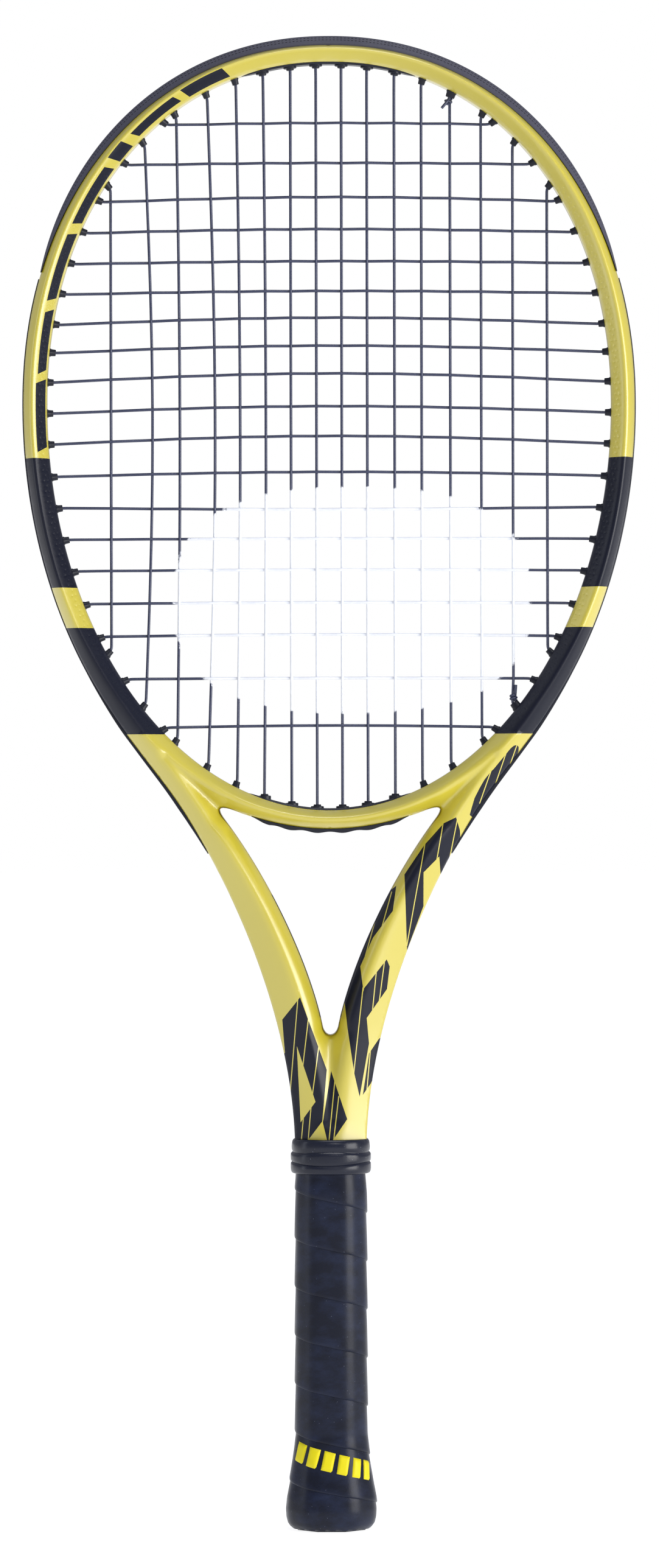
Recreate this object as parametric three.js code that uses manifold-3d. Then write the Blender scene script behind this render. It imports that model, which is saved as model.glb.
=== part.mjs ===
// A strung 26-inch junior tennis racket, standing on its butt end.
// Millimetres. +Z runs from the butt to the tip, +X across the head, +Y from front to back.
import * as THREE from 'three';
import { mergeVertices } from 'three/addons/utils/BufferGeometryUtils.js';
import Module from 'manifold-3d';

const wasm = await Module();
wasm.setup();

// ---------------------------------------------------------------- driving dimensions

const GAP = 0.3;                  // clearance between neighbouring pieces
const CLEAR = 8;                  // a cut runs this far past the surface it opens

// The head: inner wall and outer edge are ovals about one centre, fuller above it than below it.
const HEAD_CENTRE = 497;
const INNER = { halfWidth: 125.1, up: 152.2, down: 179.2 };
const OUTER = { halfWidth: 135.2, up: 159.4, down: 193.0 };
const SHOULDER_POWER = 2.12;
const BEAM_DEPTH = 24;
const BEAM_BEVEL = { size: 2.8, thickness: 6.5 };

// The outer edge leaves the oval here and sweeps in along the arm to the shaft.
const ARM_TOP = 350;
const ARM_HANDLE = 58.3;
const ARM_PULL = new THREE.Vector2(17, 233);
// The arm is this much wider where it leaves the head.
const ARM_SWELL = { size: 1.2, height: 342, reach: 16 };
const SHAFT_HALF_WIDTH = 15.8;
const SHAFT_TOP = 170;
const SHAFT_FOOT = 163;
const EDGE_POINTS = 40;
const INNER_POINTS = 60;
const SAME_STATION = 0.001;       // places closer than this along the edge are one place
const END_CUT = 0.01;

// The bridge under the strings, and the open throat below it.
const BRIDGE_UNDERSIDE = 309.8;
const BRIDGE_CORNER = new THREE.Vector2(42, 318);
const THROAT_FILLET = new THREE.Vector2(52.7, 321.9);
const THROAT_SIDE_TOP = new THREE.Vector2(46.8, 314);
const THROAT_SIDE_HANDLES = [new THREE.Vector2(24.5, 284), new THREE.Vector2(8.8, 247)];
const THROAT_FOOT = new THREE.Vector2(3.7, 223);
const THROAT_FOOT_HANDLE = new THREE.Vector2(2.9, 217);
const THROAT_SEGMENTS = 5;
const BRIDGE_SEGMENTS = 18;

// The shaft's edges are cut back to the handle's eight sides, and run out as it widens.
const SHAFT_RELIEF = { apothem: 15.9, bottom: 150, straightTop: 184, runOut: 26, top: 222 };

// The two ends of the frame tube run on down inside the handle.
const LEG = { near: 3.5, far: 11.3, bottom: 16, top: 175, depth: 19, bevel: { size: 3, thickness: 5 } };

// String bed: 16 mains at these distances from the middle, and 19 crosses at these heights.
const MAIN_OFFSETS = [5.6, 16.9, 29.0, 41.0, 53.7, 67.4, 81.4, 96.6];
const MAIN_BOWS = [0, 3.2, 1.3, 3.2, 1.6, 1, 0, 0, 0, 0, 0, 0, 0, 0, 0, 0];
const CROSS_HEIGHTS = [
  621.5, 603.8, 587.4, 573.7, 560.0, 546.6, 533.1, 520.7, 507.6, 493.9,
  480.2, 465.9, 452.0, 438.0, 424.0, 409.5, 395.0, 376.2, 354.7,
];
const CROSS_BOWS = [
  0.8, 0.8, 2.1, 1.6, 1.1, 1.3, 3.0, 3.0, 3.8, 3.0,
  3.5, 1.9, -0.8, 0.3, 0.5, 0.5, 0.8, 0.3, 0.8,
];
const STRING_RADIUS = 0.65;
const STRING_SIDES = 4;
const WEAVE = 1.6;                // how far a cross passes in front of or behind a main
const MOUTH_LEAN = { within: 4, by: 0.4 };
const LANE = 1.7;                 // sideways shift of a loop that passes another string's exit
const LANE_RAMP = 3;
const LOOP_STEP = 15;
const PAIR_SHIFT = 0.85;          // half the distance between two strings in one tie-off hole
const TAIL = 7;
const START_MAIN = 14;            // the mains whose holes also take the string's two ends
const FINISH_MAIN = 12;
const KNOT = { radius: 1.2, tube: 0.75, pitch: 1.5, clear: 4.2 };

// Grommets: a barrel lines each hole, and a strip in the groove joins the barrels.
const GROOVE = { floor: -3, halfWidth: 4.7, bottom: 296 };
const STRIP = { back: -2.7, front: -1.7, halfWidth: 4.4, railInside: 2.8, lap: 0.5 };
const LOOP_OFFSET = -0.7;
const MOUTH = 3;                  // the string bends this far inside the wall
const BARREL_END = 2.6;
const BARREL = { bore: 1.35, outside: 2.1, hole: 2.5 };
const TIE_OFF = { bore: 2.1, outside: 2.9, hole: 3.2 };
const ROD_SIDES = 5;
const SIDE_STRIP = { top: 553, bottom: 299, proud: 0.5, bulge: 0.9, bulgeTop: 380 };
const BUMPER = { end: 556, proud: 4, flange: 6.5 };
const PLATE = { halfWidth: 3.5, near: 0.6, far: 1.4, reach: 36, steps: 8 };
const CORNER_DRILL = THREE.MathUtils.degToRad(-32);
const CORNER_HEAD = { radius: 2.8, thickness: 0.8, clearance: 3.2 };
const BRIDGE_GROOVE = { depth: 2.5, reach: 35.2 };
const BRIDGE_STRIP = {
  back: 2.2, front: 1.2, reach: 34.8, proud: 1.5, bulge: 0.9, wave: 11.9, loop: 0.15,
};

// Handle: octagonal sections, a little shallower than wide.
const HANDLE_SQUASH = 0.928;
const PALLET = { seatTop: 38, seat: 13.6, apothem: 14.1, bottom: 8.3, top: 160 };
const CAP_FLARE = [[14.8, 0], [15.8, 1], [17.6, 4], [18.4, 9], [16.9, 20], [15.3, 31], [14.8, 37.7]];
const CAP = { floor: 8, inside: 13.9 };
const GRIP_FLARE = [[17.4, 1.2], [19.1, 4], [20.0, 9], [18.5, 20], [16.9, 31], [15.9, 40]];
const GRIP = { foot: 16.4, inside: 14.4, outside: 15.9, neck: 15.3, neckBottom: 156, top: 162 };
const TAPE = { inside: 15.6, outside: 16.0, bottom: 157.8, top: 161.6 };
const COLLAR_OUTSIDE = [[17.2, 157.5], [17.9, 160], [17.9, 164], [17.3, 167], [17.8, 170], [17.2, 172.8]];
const COLLAR = { inside: 16.3, lipBottom: 170.8, holeHalfWidth: 16.6, holeDepth: 25.2 };
const DOOR = { halfX: 7, halfY: 8.5, plate: 1.8, lip: 1.2, plugTop: 6.5, wall: 1.5 };
const STAPLE = { height: 24, crown: 10, wire: 0.9, outside: 16, inside: 15.2, tip: 12.2 };

// ---------------------------------------------------------------- colours

const finish = (color, roughness, metalness = 0) => () =>
  new THREE.MeshStandardMaterial({ color, roughness, metalness });
const yellowPaint = finish(0xd7c855, 0.35);
const bumperPlastic = finish(0x484852, 0.6);
const grommetPlastic = finish(0x1c1e24, 0.5);
const stringCoating = finish(0x4a4f58, 0.3);
const foamPallet = finish(0xb9b4a2, 0.9);
const capPlastic = finish(0x22242a, 0.5);
const stapleSteel = finish(0xb8bcc0, 0.35, 1);
const gripSkin = finish(0x23242c, 0.75);
const tapeFilm = finish(0x15161a, 0.45);
const collarRubber = finish(0x23283a, 0.6);

// ---------------------------------------------------------------- solids

// A closed geometry as a manifold solid.
function solid(geometry) {
  const bare = geometry.clone();
  bare.deleteAttribute('normal');
  bare.deleteAttribute('uv');
  const merged = mergeVertices(bare, 1e-4);
  return new wasm.Manifold(new wasm.Mesh({
    numProp: 3,
    vertProperties: new Float32Array(merged.attributes.position.array),
    triVerts: new Uint32Array(merged.index.array),
  }));
}

// A manifold solid as a geometry.
function geometryOf(body) {
  const mesh = body.getMesh();
  const geometry = new THREE.BufferGeometry();
  geometry.setAttribute('position', new THREE.BufferAttribute(new Float32Array(mesh.vertProperties), 3));
  geometry.setIndex(new THREE.BufferAttribute(new Uint32Array(mesh.triVerts), 1));
  geometry.computeVertexNormals();
  return geometry;
}

const joined = (bodies) => bodies.reduce((whole, body) => whole.add(body));
const cutAway = (body, tools) => body.subtract(joined(tools));

// A shape drawn in the XZ plane, given a depth from front to back.
function plate(shape, depth, bevel) {
  const straight = depth - 2 * (bevel ? bevel.thickness : 0);
  const geometry = new THREE.ExtrudeGeometry(shape, {
    depth: straight,
    steps: 1,
    curveSegments: THROAT_SEGMENTS,
    bevelEnabled: Boolean(bevel),
    bevelSize: bevel?.size,
    bevelOffset: bevel ? -bevel.size : 0,
    bevelThickness: bevel?.thickness,
    bevelSegments: 1,
  });
  geometry.translate(0, 0, -straight / 2);
  geometry.rotateX(Math.PI / 2);
  return solid(geometry);
}

function box(low, high) {
  const size = high.map((value, axis) => value - low[axis]);
  const geometry = new THREE.BoxGeometry(...size);
  geometry.translate(...high.map((value, axis) => (value + low[axis]) / 2));
  return solid(geometry);
}

const inPlane = (point, y = 0) => new THREE.Vector3(point.x, y, point.y);

// A round bar between two points of the XZ plane.
function rod(from, to, radius) {
  const start = inPlane(from);
  const along = inPlane(to).sub(start);
  const geometry = new THREE.CylinderGeometry(radius, radius, along.length(), ROD_SIDES);
  geometry.translate(0, along.length() / 2, 0);
  geometry.applyQuaternion(
    new THREE.Quaternion().setFromUnitVectors(new THREE.Vector3(0, 1, 0), along.normalize()));
  geometry.translate(start.x, start.y, start.z);
  return solid(geometry);
}

// An eight-sided turned section: [apothem, height] pairs around a closed profile.
function octagon(profile) {
  const corner = 1 / Math.cos(Math.PI / 8);
  const points = profile.map(([apothem, height]) => new THREE.Vector2(apothem * corner, height));
  const geometry = new THREE.LatheGeometry(points, 8, Math.PI / 8);
  geometry.rotateX(Math.PI / 2);
  geometry.scale(1, HANDLE_SQUASH, 1);
  return solid(geometry);
}

// ---------------------------------------------------------------- head and arm curves

function ovalPoint(oval, angle) {
  const above = Math.sin(angle) > 0;
  const power = 2 / (above ? SHOULDER_POWER : 2);
  const across = Math.sign(Math.cos(angle)) * Math.abs(Math.cos(angle)) ** power;
  const rise = Math.abs(Math.sin(angle)) ** power * (above ? oval.up : -oval.down);
  return new THREE.Vector2(oval.halfWidth * across, HEAD_CENTRE + rise);
}

class OvalArc extends THREE.Curve {
  constructor(oval, start, end) {
    super();
    this.oval = oval;
    this.start = start;
    this.end = end;
  }

  getPoint(t) {
    return ovalPoint(this.oval, THREE.MathUtils.lerp(this.start, this.end, t));
  }
}

// The right half of the outer edge, from the tip to the foot of the shaft.
function outerEdge() {
  const angle = -Math.asin((HEAD_CENTRE - ARM_TOP) / OUTER.down);
  const oval = new OvalArc(OUTER, Math.PI / 2, angle);
  const armTop = oval.getPoint(1);
  const handle = armTop.clone().addScaledVector(oval.getTangent(1), ARM_HANDLE);
  const shaftTop = new THREE.Vector2(SHAFT_HALF_WIDTH, SHAFT_TOP);
  const edge = new THREE.CurvePath();
  edge.add(oval);
  edge.add(new THREE.CubicBezierCurve(armTop, handle, ARM_PULL, shaftTop));
  edge.add(new THREE.LineCurve(shaftTop, new THREE.Vector2(SHAFT_HALF_WIDTH, SHAFT_FOOT)));
  return edge;
}

const EDGE = outerEdge();
const EDGE_LENGTH = EDGE.getLength();

// A point near the outer edge: |station| runs from 0 at the tip to 1 at the foot, + on the right.
function edgePoint(station, offset) {
  const point = EDGE.getPoint(Math.abs(station));
  const along = EDGE.getTangent(Math.abs(station));
  const side = station < 0 ? -1 : 1;
  const swell = ARM_SWELL.size * Math.exp(-(((point.y - ARM_SWELL.height) / ARM_SWELL.reach) ** 2));
  const across = point.x + swell - along.y * offset;
  return new THREE.Vector2(side * across, point.y + along.x * offset);
}

function bisect(low, high, miss) {
  const lowIsNegative = miss(low) < 0;
  for (let pass = 0; pass < 40; pass += 1) {
    const middle = (low + high) / 2;
    if ((miss(middle) < 0) === lowIsNegative) low = middle;
    else high = middle;
  }
  return (low + high) / 2;
}

const stationAt = (height) => bisect(0, 1, (station) => edgePoint(station, 0).y - height);

// The two ends, and the outline's own points between them.
function stations(from, to) {
  const inside = [];
  for (let index = -EDGE_POINTS; index <= EDGE_POINTS; index += 1) {
    const station = index / EDGE_POINTS;
    if (station > from + 2 * SAME_STATION && station < to - 2 * SAME_STATION) inside.push(station);
  }
  return [from, ...inside, to];
}

// A band along the outer edge between two offsets from it, each a number or a rule.
function edgeBand(from, to, inner, outer, halfWidth) {
  const offset = (rule, station) => (typeof rule === 'function' ? rule(station) : rule);
  const marks = stations(from, to);
  const near = marks.map((station) => edgePoint(station, offset(inner, station)));
  const far = marks.map((station) => edgePoint(station, offset(outer, station)));
  return plate(new THREE.Shape([...near, ...far.reverse()]), 2 * halfWidth);
}

// ---------------------------------------------------------------- string holes

const reach = (point, direction, distance) => point.clone().addScaledVector(direction, distance);
const mirrored = (vector) => new THREE.Vector2(-vector.x, vector.y);

// The inner wall at an angle, and the way straight out through it.
function wallAt(angle) {
  const step = 1e-4;
  const along = ovalPoint(INNER, angle + step).sub(ovalPoint(INNER, angle - step)).normalize();
  return { wall: ovalPoint(INNER, angle), out: new THREE.Vector2(along.y, -along.x) };
}

// Where a hole's axis meets a line at one offset from the outer edge.
function exitStation({ wall, out }, offset) {
  return bisect(0, 1, (station) => out.cross(edgePoint(station, offset).sub(wall)));
}

// A hole on the right half whose string, just inside the wall, is at one distance or height.
function edgeHole(low, high, axis, value, direction) {
  const at = (angle) => {
    const { wall, out } = wallAt(angle);
    return { wall, out: direction ?? out };
  };
  const angle = bisect(low, high, (trial) => {
    const { wall, out } = at(trial);
    return reach(wall, out, -MOUTH)[axis] - value;
  });
  const hole = at(angle);
  hole.station = exitStation(hole, LOOP_OFFSET);
  hole.corner = edgePoint(hole.station, LOOP_OFFSET);
  hole.seat = edgePoint(exitStation(hole, STRIP.front), (STRIP.front + STRIP.back) / 2);
  hole.beyond = reach(hole.corner, hole.out, MOUTH);
  return hole;
}

// A hole straight down through the bridge.
function bridgeHole(offset) {
  const angle = -Math.acos(offset / INNER.halfWidth);
  const wall = ovalPoint(INNER, angle);
  const out = new THREE.Vector2(0, -1);
  const { back, front, loop } = BRIDGE_STRIP;
  const corner = bridgePoint(offset, loop);
  const seat = bridgePoint(offset, (back + front) / 2);
  return { wall, out, corner, seat, beyond: reach(corner, out, MOUTH), isUnderBridge: true };
}

function mirroredHole(hole) {
  const copy = { station: -hole.station, isUnderBridge: hole.isUnderBridge };
  for (const key of ['wall', 'out', 'corner', 'seat', 'beyond']) copy[key] = mirrored(hole[key]);
  return copy;
}

// The underside of the bridge, raised by a distance.
function bridgePoint(x, raised) {
  const bow = (BRIDGE_CORNER.y - BRIDGE_UNDERSIDE) / BRIDGE_CORNER.x ** 2;
  return new THREE.Vector2(x, BRIDGE_UNDERSIDE + bow * x * x + raised);
}

function withMouth(hole) {
  return { ...hole, size: BARREL, mouth: reach(hole.wall, hole.out, -MOUTH) };
}

const cornerDirection = new THREE.Vector2(Math.cos(CORNER_DRILL), Math.sin(CORNER_DRILL));
const QUARTER = Math.PI / 2 - END_CUT;

// Strips that a hole near the bottom belongs to, by the main's place from the middle.
const isBridgeMain = (place) => place < 3;
const isCornerMain = (place) => place >= 3 && place < 6;

function mainBottom(offset, place) {
  if (isBridgeMain(place)) return bridgeHole(offset);
  return edgeHole(-QUARTER, 0, 'x', offset, isCornerMain(place) ? cornerDirection : undefined);
}

const topRight = MAIN_OFFSETS.map((offset) => edgeHole(QUARTER, 0, 'x', offset));
const bottomRight = MAIN_OFFSETS.map(mainBottom);
const crossRight = CROSS_HEIGHTS.map((height) => edgeHole(-QUARTER, QUARTER, 'y', height));

// Mains are counted from the left; crosses from the top.
const bothSides = (right) => [...right.map(mirroredHole).reverse(), ...right].map(withMouth);
const mainTops = bothSides(topRight);
const mainBottoms = bothSides(bottomRight);
const crossRights = crossRight.map(withMouth);
const crossLefts = crossRight.map(mirroredHole).map(withMouth);
mainTops[FINISH_MAIN].size = TIE_OFF;
mainBottoms[START_MAIN].size = TIE_OFF;
const MAINS = mainTops.length;
const CROSSES = crossRights.length;
const placeOf = (main) => (main < MAINS / 2 ? MAINS / 2 - 1 - main : main - MAINS / 2);

const allHoles = [...mainTops, ...mainBottoms, ...crossRights, ...crossLefts];

// ---------------------------------------------------------------- frame

function throatPath() {
  const path = new THREE.Path();
  const bottomControl = 2 * BRIDGE_UNDERSIDE - BRIDGE_CORNER.y;
  path.moveTo(-BRIDGE_CORNER.x, BRIDGE_CORNER.y);
  path.quadraticCurveTo(0, bottomControl, BRIDGE_CORNER.x, BRIDGE_CORNER.y);
  path.quadraticCurveTo(THROAT_FILLET.x, THROAT_FILLET.y, THROAT_SIDE_TOP.x, THROAT_SIDE_TOP.y);
  const [upper, lower] = THROAT_SIDE_HANDLES;
  path.bezierCurveTo(upper.x, upper.y, lower.x, lower.y, THROAT_FOOT.x, THROAT_FOOT.y);
  const turn = THROAT_FOOT_HANDLE;
  path.bezierCurveTo(turn.x, turn.y, -turn.x, turn.y, -THROAT_FOOT.x, THROAT_FOOT.y);
  path.bezierCurveTo(-lower.x, lower.y, -upper.x, upper.y, -THROAT_SIDE_TOP.x, THROAT_SIDE_TOP.y);
  path.quadraticCurveTo(-THROAT_FILLET.x, THROAT_FILLET.y, -BRIDGE_CORNER.x, BRIDGE_CORNER.y);
  return path;
}

function innerPath() {
  const turn = 2 * Math.PI / INNER_POINTS;
  const points = Array.from({ length: INNER_POINTS }, (_, index) => ovalPoint(INNER, index * turn));
  return new THREE.Path(points);
}

function leg(side) {
  const near = side * LEG.near;
  const far = side * LEG.far;
  const corners = [[near, LEG.bottom], [far, LEG.bottom], [far, LEG.top], [near, LEG.top]];
  const shape = new THREE.Shape(corners.map(([x, z]) => new THREE.Vector2(x, z)));
  return plate(shape, LEG.depth, LEG.bevel);
}

function bridgeBand(reachX, lower, upper, halfWidth) {
  const count = BRIDGE_SEGMENTS;
  const xs = Array.from({ length: count + 1 }, (_, index) => reachX * (2 * index / count - 1));
  const raise = (rule, x) => (typeof rule === 'function' ? rule(x) : rule);
  const low = xs.map((x) => bridgePoint(x, raise(lower, x)));
  const high = xs.map((x) => bridgePoint(x, raise(upper, x)));
  return plate(new THREE.Shape([...low, ...high.reverse()]), 2 * halfWidth);
}

function drilled(hole) {
  return rod(reach(hole.wall, hole.out, -MOUTH), hole.beyond, hole.size.hole);
}

function shaftRelief() {
  const { apothem, bottom, straightTop, runOut, top } = SHAFT_RELIEF;
  const kept = octagon([[0, bottom], [apothem, bottom], [apothem, straightTop], [runOut, top], [0, top]]);
  return box([-2 * runOut, -BEAM_DEPTH, bottom], [2 * runOut, BEAM_DEPTH, top]).subtract(kept);
}

function frameBody() {
  const outline = new THREE.Shape(stations(-1, 1).reverse().map((station) => edgePoint(station, 0)));
  outline.holes.push(innerPath(), throatPath());
  const hoop = plate(outline, BEAM_DEPTH, BEAM_BEVEL);
  const end = stationAt(GROOVE.bottom);
  const groove = edgeBand(-end, end, GROOVE.floor, CLEAR, GROOVE.halfWidth);
  const { reach: across, depth } = BRIDGE_GROOVE;
  const bridgeGroove = bridgeBand(across, -CLEAR, depth, GROOVE.halfWidth);
  const whole = joined([hoop, leg(-1), leg(1)]);
  return cutAway(whole, [groove, bridgeGroove, shaftRelief(), ...allHoles.map(drilled)]);
}

// ---------------------------------------------------------------- grommets and bumper

const barrel = (hole) => rod(reach(hole.wall, hole.out, -BARREL_END), hole.seat, hole.size.outside);
const bore = (hole) => rod(reach(hole.wall, hole.out, -MOUTH), hole.beyond, hole.size.bore);

// A strip along the outer edge: a base under the strings, and a rail on each side of them.
function edgeStrip(from, to, proud) {
  const whole = edgeBand(from, to, STRIP.back, proud, STRIP.halfWidth);
  const channel = edgeBand(from - END_CUT, to + END_CUT, STRIP.front, CLEAR, STRIP.railInside);
  return whole.subtract(channel);
}

// A thin pad against the inner wall round the middle six mains.
function wallPad(middle) {
  const half = Math.asin(PLATE.reach / INNER.halfWidth);
  const { steps } = PLATE;
  const angles = Array.from({ length: steps + 1 }, (_, index) => middle + half * (2 * index / steps - 1));
  const line = (distance) => angles.map((angle) => {
    const { wall, out } = wallAt(angle);
    return reach(wall, out, -distance);
  });
  const shape = new THREE.Shape([...line(PLATE.near), ...line(PLATE.far).reverse()]);
  return plate(shape, 2 * PLATE.halfWidth);
}

const isUnderBumper = (hole) => hole.seat.y > (BUMPER.end + SIDE_STRIP.top) / 2;

function headBumper() {
  const end = stationAt(BUMPER.end);
  const proud = (station) => {
    const fade = 1 - (Math.abs(station) / end) ** 4;
    return SIDE_STRIP.proud + (BUMPER.proud - SIDE_STRIP.proud) * fade;
  };
  const strip = edgeStrip(-end, end, proud);
  const flange = edgeBand(-end, end, GAP, proud, BUMPER.flange);
  const open = edgeBand(-end - END_CUT, end + END_CUT, -CLEAR, CLEAR, STRIP.halfWidth - STRIP.lap);
  const holes = [...mainTops, ...[...crossLefts, ...crossRights].filter((hole) => isUnderBumper(hole))];
  const body = joined([strip, flange.subtract(open), wallPad(Math.PI / 2), ...holes.map(barrel)]);
  return cutAway(body, holes.map(bore));
}

// The strip swells outwards at the corner above its lower end.
function sideProud(station) {
  const { bottom, bulgeTop, bulge, proud } = SIDE_STRIP;
  const part = THREE.MathUtils.clamp((bulgeTop - edgePoint(station, 0).y) / (bulgeTop - bottom), 0, 1);
  return proud + bulge * Math.sin(Math.PI * part);
}

function sideStrip(side) {
  const top = side * stationAt(SIDE_STRIP.top);
  const bottom = side * stationAt(SIDE_STRIP.bottom);
  const strip = edgeStrip(Math.min(top, bottom), Math.max(top, bottom), sideProud);
  const crosses = (side < 0 ? crossLefts : crossRights).filter((hole) => !isUnderBumper(hole));
  const corners = [];
  const holes = [...crosses];
  mainBottoms.forEach((hole, main) => {
    const place = placeOf(main);
    if (Math.sign(hole.wall.x) !== side || isBridgeMain(place)) return;
    (isCornerMain(place) ? corners : holes).push(hole);
  });
  const around = corners.map((hole) => rod(hole.wall, hole.beyond, CORNER_HEAD.clearance));
  return cutAway(joined([strip, ...holes.map(barrel)]), [...holes.map(bore), ...around]);
}

function cornerGrommet(hole) {
  const half = CORNER_HEAD.thickness / 2;
  const head = rod(reach(hole.seat, hole.out, -half), reach(hole.seat, hole.out, half), CORNER_HEAD.radius);
  return barrel(hole).add(head).subtract(bore(hole));
}

function throatStrip() {
  const { back, front, reach: end, proud, bulge, wave: pitch } = BRIDGE_STRIP;
  const holes = mainBottoms.filter((_, main) => isBridgeMain(placeOf(main)));
  const wave = (x) => -proud - bulge * Math.cos(2 * Math.PI * (Math.abs(x) / pitch - 0.5));
  const whole = bridgeBand(end, wave, back, STRIP.halfWidth);
  const channel = bridgeBand(end + 1, -CLEAR, front, STRIP.railInside);
  const body = joined([whole.subtract(channel), wallPad(-Math.PI / 2), ...holes.map(barrel)]);
  return cutAway(body, holes.map(bore));
}

// ---------------------------------------------------------------- string

// A curve through a list of points, one step for each.
class PointPath extends THREE.Curve {
  constructor(points) {
    super();
    this.points = points;
  }

  getPoint(t) {
    return this.points[Math.round(t * (this.points.length - 1))].clone();
  }

  getPointAt(t) {
    return this.getPoint(t);
  }

  getSpacedPoints() {
    return this.points.map((point) => point.clone());
  }

  getTangentAt(t) {
    const index = Math.round(t * (this.points.length - 1));
    const before = this.points[Math.max(index - 1, 0)];
    const here = this.points[index];
    const after = this.points[Math.min(index + 1, this.points.length - 1)];
    const arriving = here.clone().sub(before).normalize();
    return arriving.add(after.clone().sub(here).normalize()).normalize();
  }
}

const mainX = (main) => (main < MAINS / 2 ? -1 : 1) * MAIN_OFFSETS[placeOf(main)];

// A main's place across the head at one height.
function mainAt(main, height) {
  const low = mainBottoms[main].mouth.y;
  const high = mainTops[main].mouth.y;
  const part = (height - low) / (high - low);
  return mainX(main) + MAIN_BOWS[main] * Math.sin(Math.PI * part);
}

// A cross's height at one place across the head.
function crossAt(cross, x) {
  const edge = crossRights[cross].mouth.x;
  return CROSS_HEIGHTS[cross] + CROSS_BOWS[cross] * Math.cos(Math.PI / 2 * x / edge);
}

function mainPoints(main) {
  const low = mainBottoms[main].mouth.y;
  const high = mainTops[main].mouth.y;
  const parts = MAIN_BOWS[main] ? [0.25, 0.5, 0.75] : [0.5];
  return parts.map((part) => {
    const height = THREE.MathUtils.lerp(low, high, part);
    return new THREE.Vector3(mainAt(main, height), 0, height);
  });
}

function crossPoints(cross) {
  const points = [];
  for (let main = 0; main < MAINS; main += 1) {
    const x = mainAt(main, CROSS_HEIGHTS[cross]);
    const height = crossAt(cross, x);
    const meets = height < mainTops[main].mouth.y && height > mainBottoms[main].mouth.y;
    const side = (main + cross) % 2 ? 1 : -1;
    if (meets && Math.abs(x) < crossRights[cross].mouth.x) {
      points.push(new THREE.Vector3(x, side * WEAVE, height));
    }
  }
  return points;
}

// Along the groove from one station to another, in a lane or straight.
function alongGroove(from, to, lane) {
  const ramp = LANE_RAMP / EDGE_LENGTH * Math.sign(to - from);
  const start = lane ? from + ramp : from;
  const end = lane ? to - ramp : to;
  const steps = Math.max(1, Math.ceil(Math.abs(end - start) * EDGE_LENGTH / LOOP_STEP));
  const marks = Array.from({ length: steps + 1 }, (_, index) => start + (end - start) * index / steps);
  const wanted = lane ? marks : marks.slice(1, -1);
  return wanted.map((station) => inPlane(edgePoint(station, LOOP_OFFSET), lane));
}

function laneBetween(from, to, lane) {
  const low = Math.min(from, to) + SAME_STATION;
  const high = Math.max(from, to) - SAME_STATION;
  return allHoles.some((hole) => hole.station > low && hole.station < high) ? lane : 0;
}

function loop(from, to, lane) {
  if (from.isUnderBridge) return [];
  return alongGroove(from.station, to.station, laneBetween(from.station, to.station, lane));
}

// A hole's two bends, from inside the wall to the groove, shifted along or across the hole.
function bends(hole, shift = 0, y = 0) {
  const along = new THREE.Vector2(-hole.out.y, hole.out.x);
  return [hole.mouth, hole.corner].map((point) => inPlane(reach(point, along, shift), y));
}

// A string's mouth leans towards the side of a crossing that lies close to it.
function crossBends(hole, nearest) {
  const isClose = Math.abs(nearest.x - hole.mouth.x) < MOUTH_LEAN.within;
  return bends(hole, 0, isClose ? Math.sign(nearest.y) * MOUTH_LEAN.by : 0);
}

function stringRoute() {
  const route = [];
  const tieOff = mainBottoms[START_MAIN];
  const [startMouth, startCorner] = bends(tieOff, PAIR_SHIFT);
  const startTail = startMouth.clone().add(new THREE.Vector3(0.5, -1.4, TAIL));
  route.push(startTail, startMouth, startCorner, ...loop(tieOff, mainBottoms[MAINS - 1], LANE));

  for (let main = MAINS - 1; main >= 0; main -= 1) {
    const upwards = (MAINS - 1 - main) % 2 === 0;
    const bottom = bends(mainBottoms[main], main === START_MAIN ? -PAIR_SHIFT : 0);
    const top = bends(mainTops[main], 0, main === FINISH_MAIN ? PAIR_SHIFT : 0);
    const straight = mainPoints(main);
    if (main === START_MAIN) straight.unshift(new THREE.Vector3(mainX(main), 0, bottom[0].z + TAIL));
    if (main === FINISH_MAIN) straight.push(new THREE.Vector3(mainX(main), 0, top[0].z - TAIL));
    const rising = [bottom[1], bottom[0], ...straight, top[0], top[1]];
    route.push(...(upwards ? rising : rising.reverse()));
    const ends = upwards ? mainTops : mainBottoms;
    if (main > 0) route.push(...loop(ends[main], ends[main - 1], LANE));
  }

  const last = CROSSES - 1;
  const passed = crossLefts[last - 1].station;
  const changeLane = (passed + mainBottoms[1].station) / 2;
  route.push(...alongGroove(mainBottoms[0].station, changeLane, LANE));
  route.push(...alongGroove(changeLane, crossLefts[last].station, -LANE));

  for (let cross = last; cross >= 0; cross -= 1) {
    const rightwards = (last - cross) % 2 === 0;
    const weave = crossPoints(cross);
    const left = crossBends(crossLefts[cross], weave[0]);
    const right = crossBends(crossRights[cross], weave[weave.length - 1]);
    const across = [left[1], left[0], ...weave, right[0], right[1]];
    route.push(...(rightwards ? across : across.reverse()));
    const ends = rightwards ? crossRights : crossLefts;
    if (cross > 0) route.push(...loop(ends[cross], ends[cross - 1], -LANE));
  }

  const finish = mainTops[FINISH_MAIN];
  const [finishMouth, finishCorner] = bends(finish, 0, -PAIR_SHIFT);
  const finishTail = finishMouth.clone().add(new THREE.Vector3(-0.5, -0.8, -TAIL));
  route.push(...loop(crossRights[0], finish, -LANE), finishCorner, finishMouth, finishTail);
  return route;
}

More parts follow.
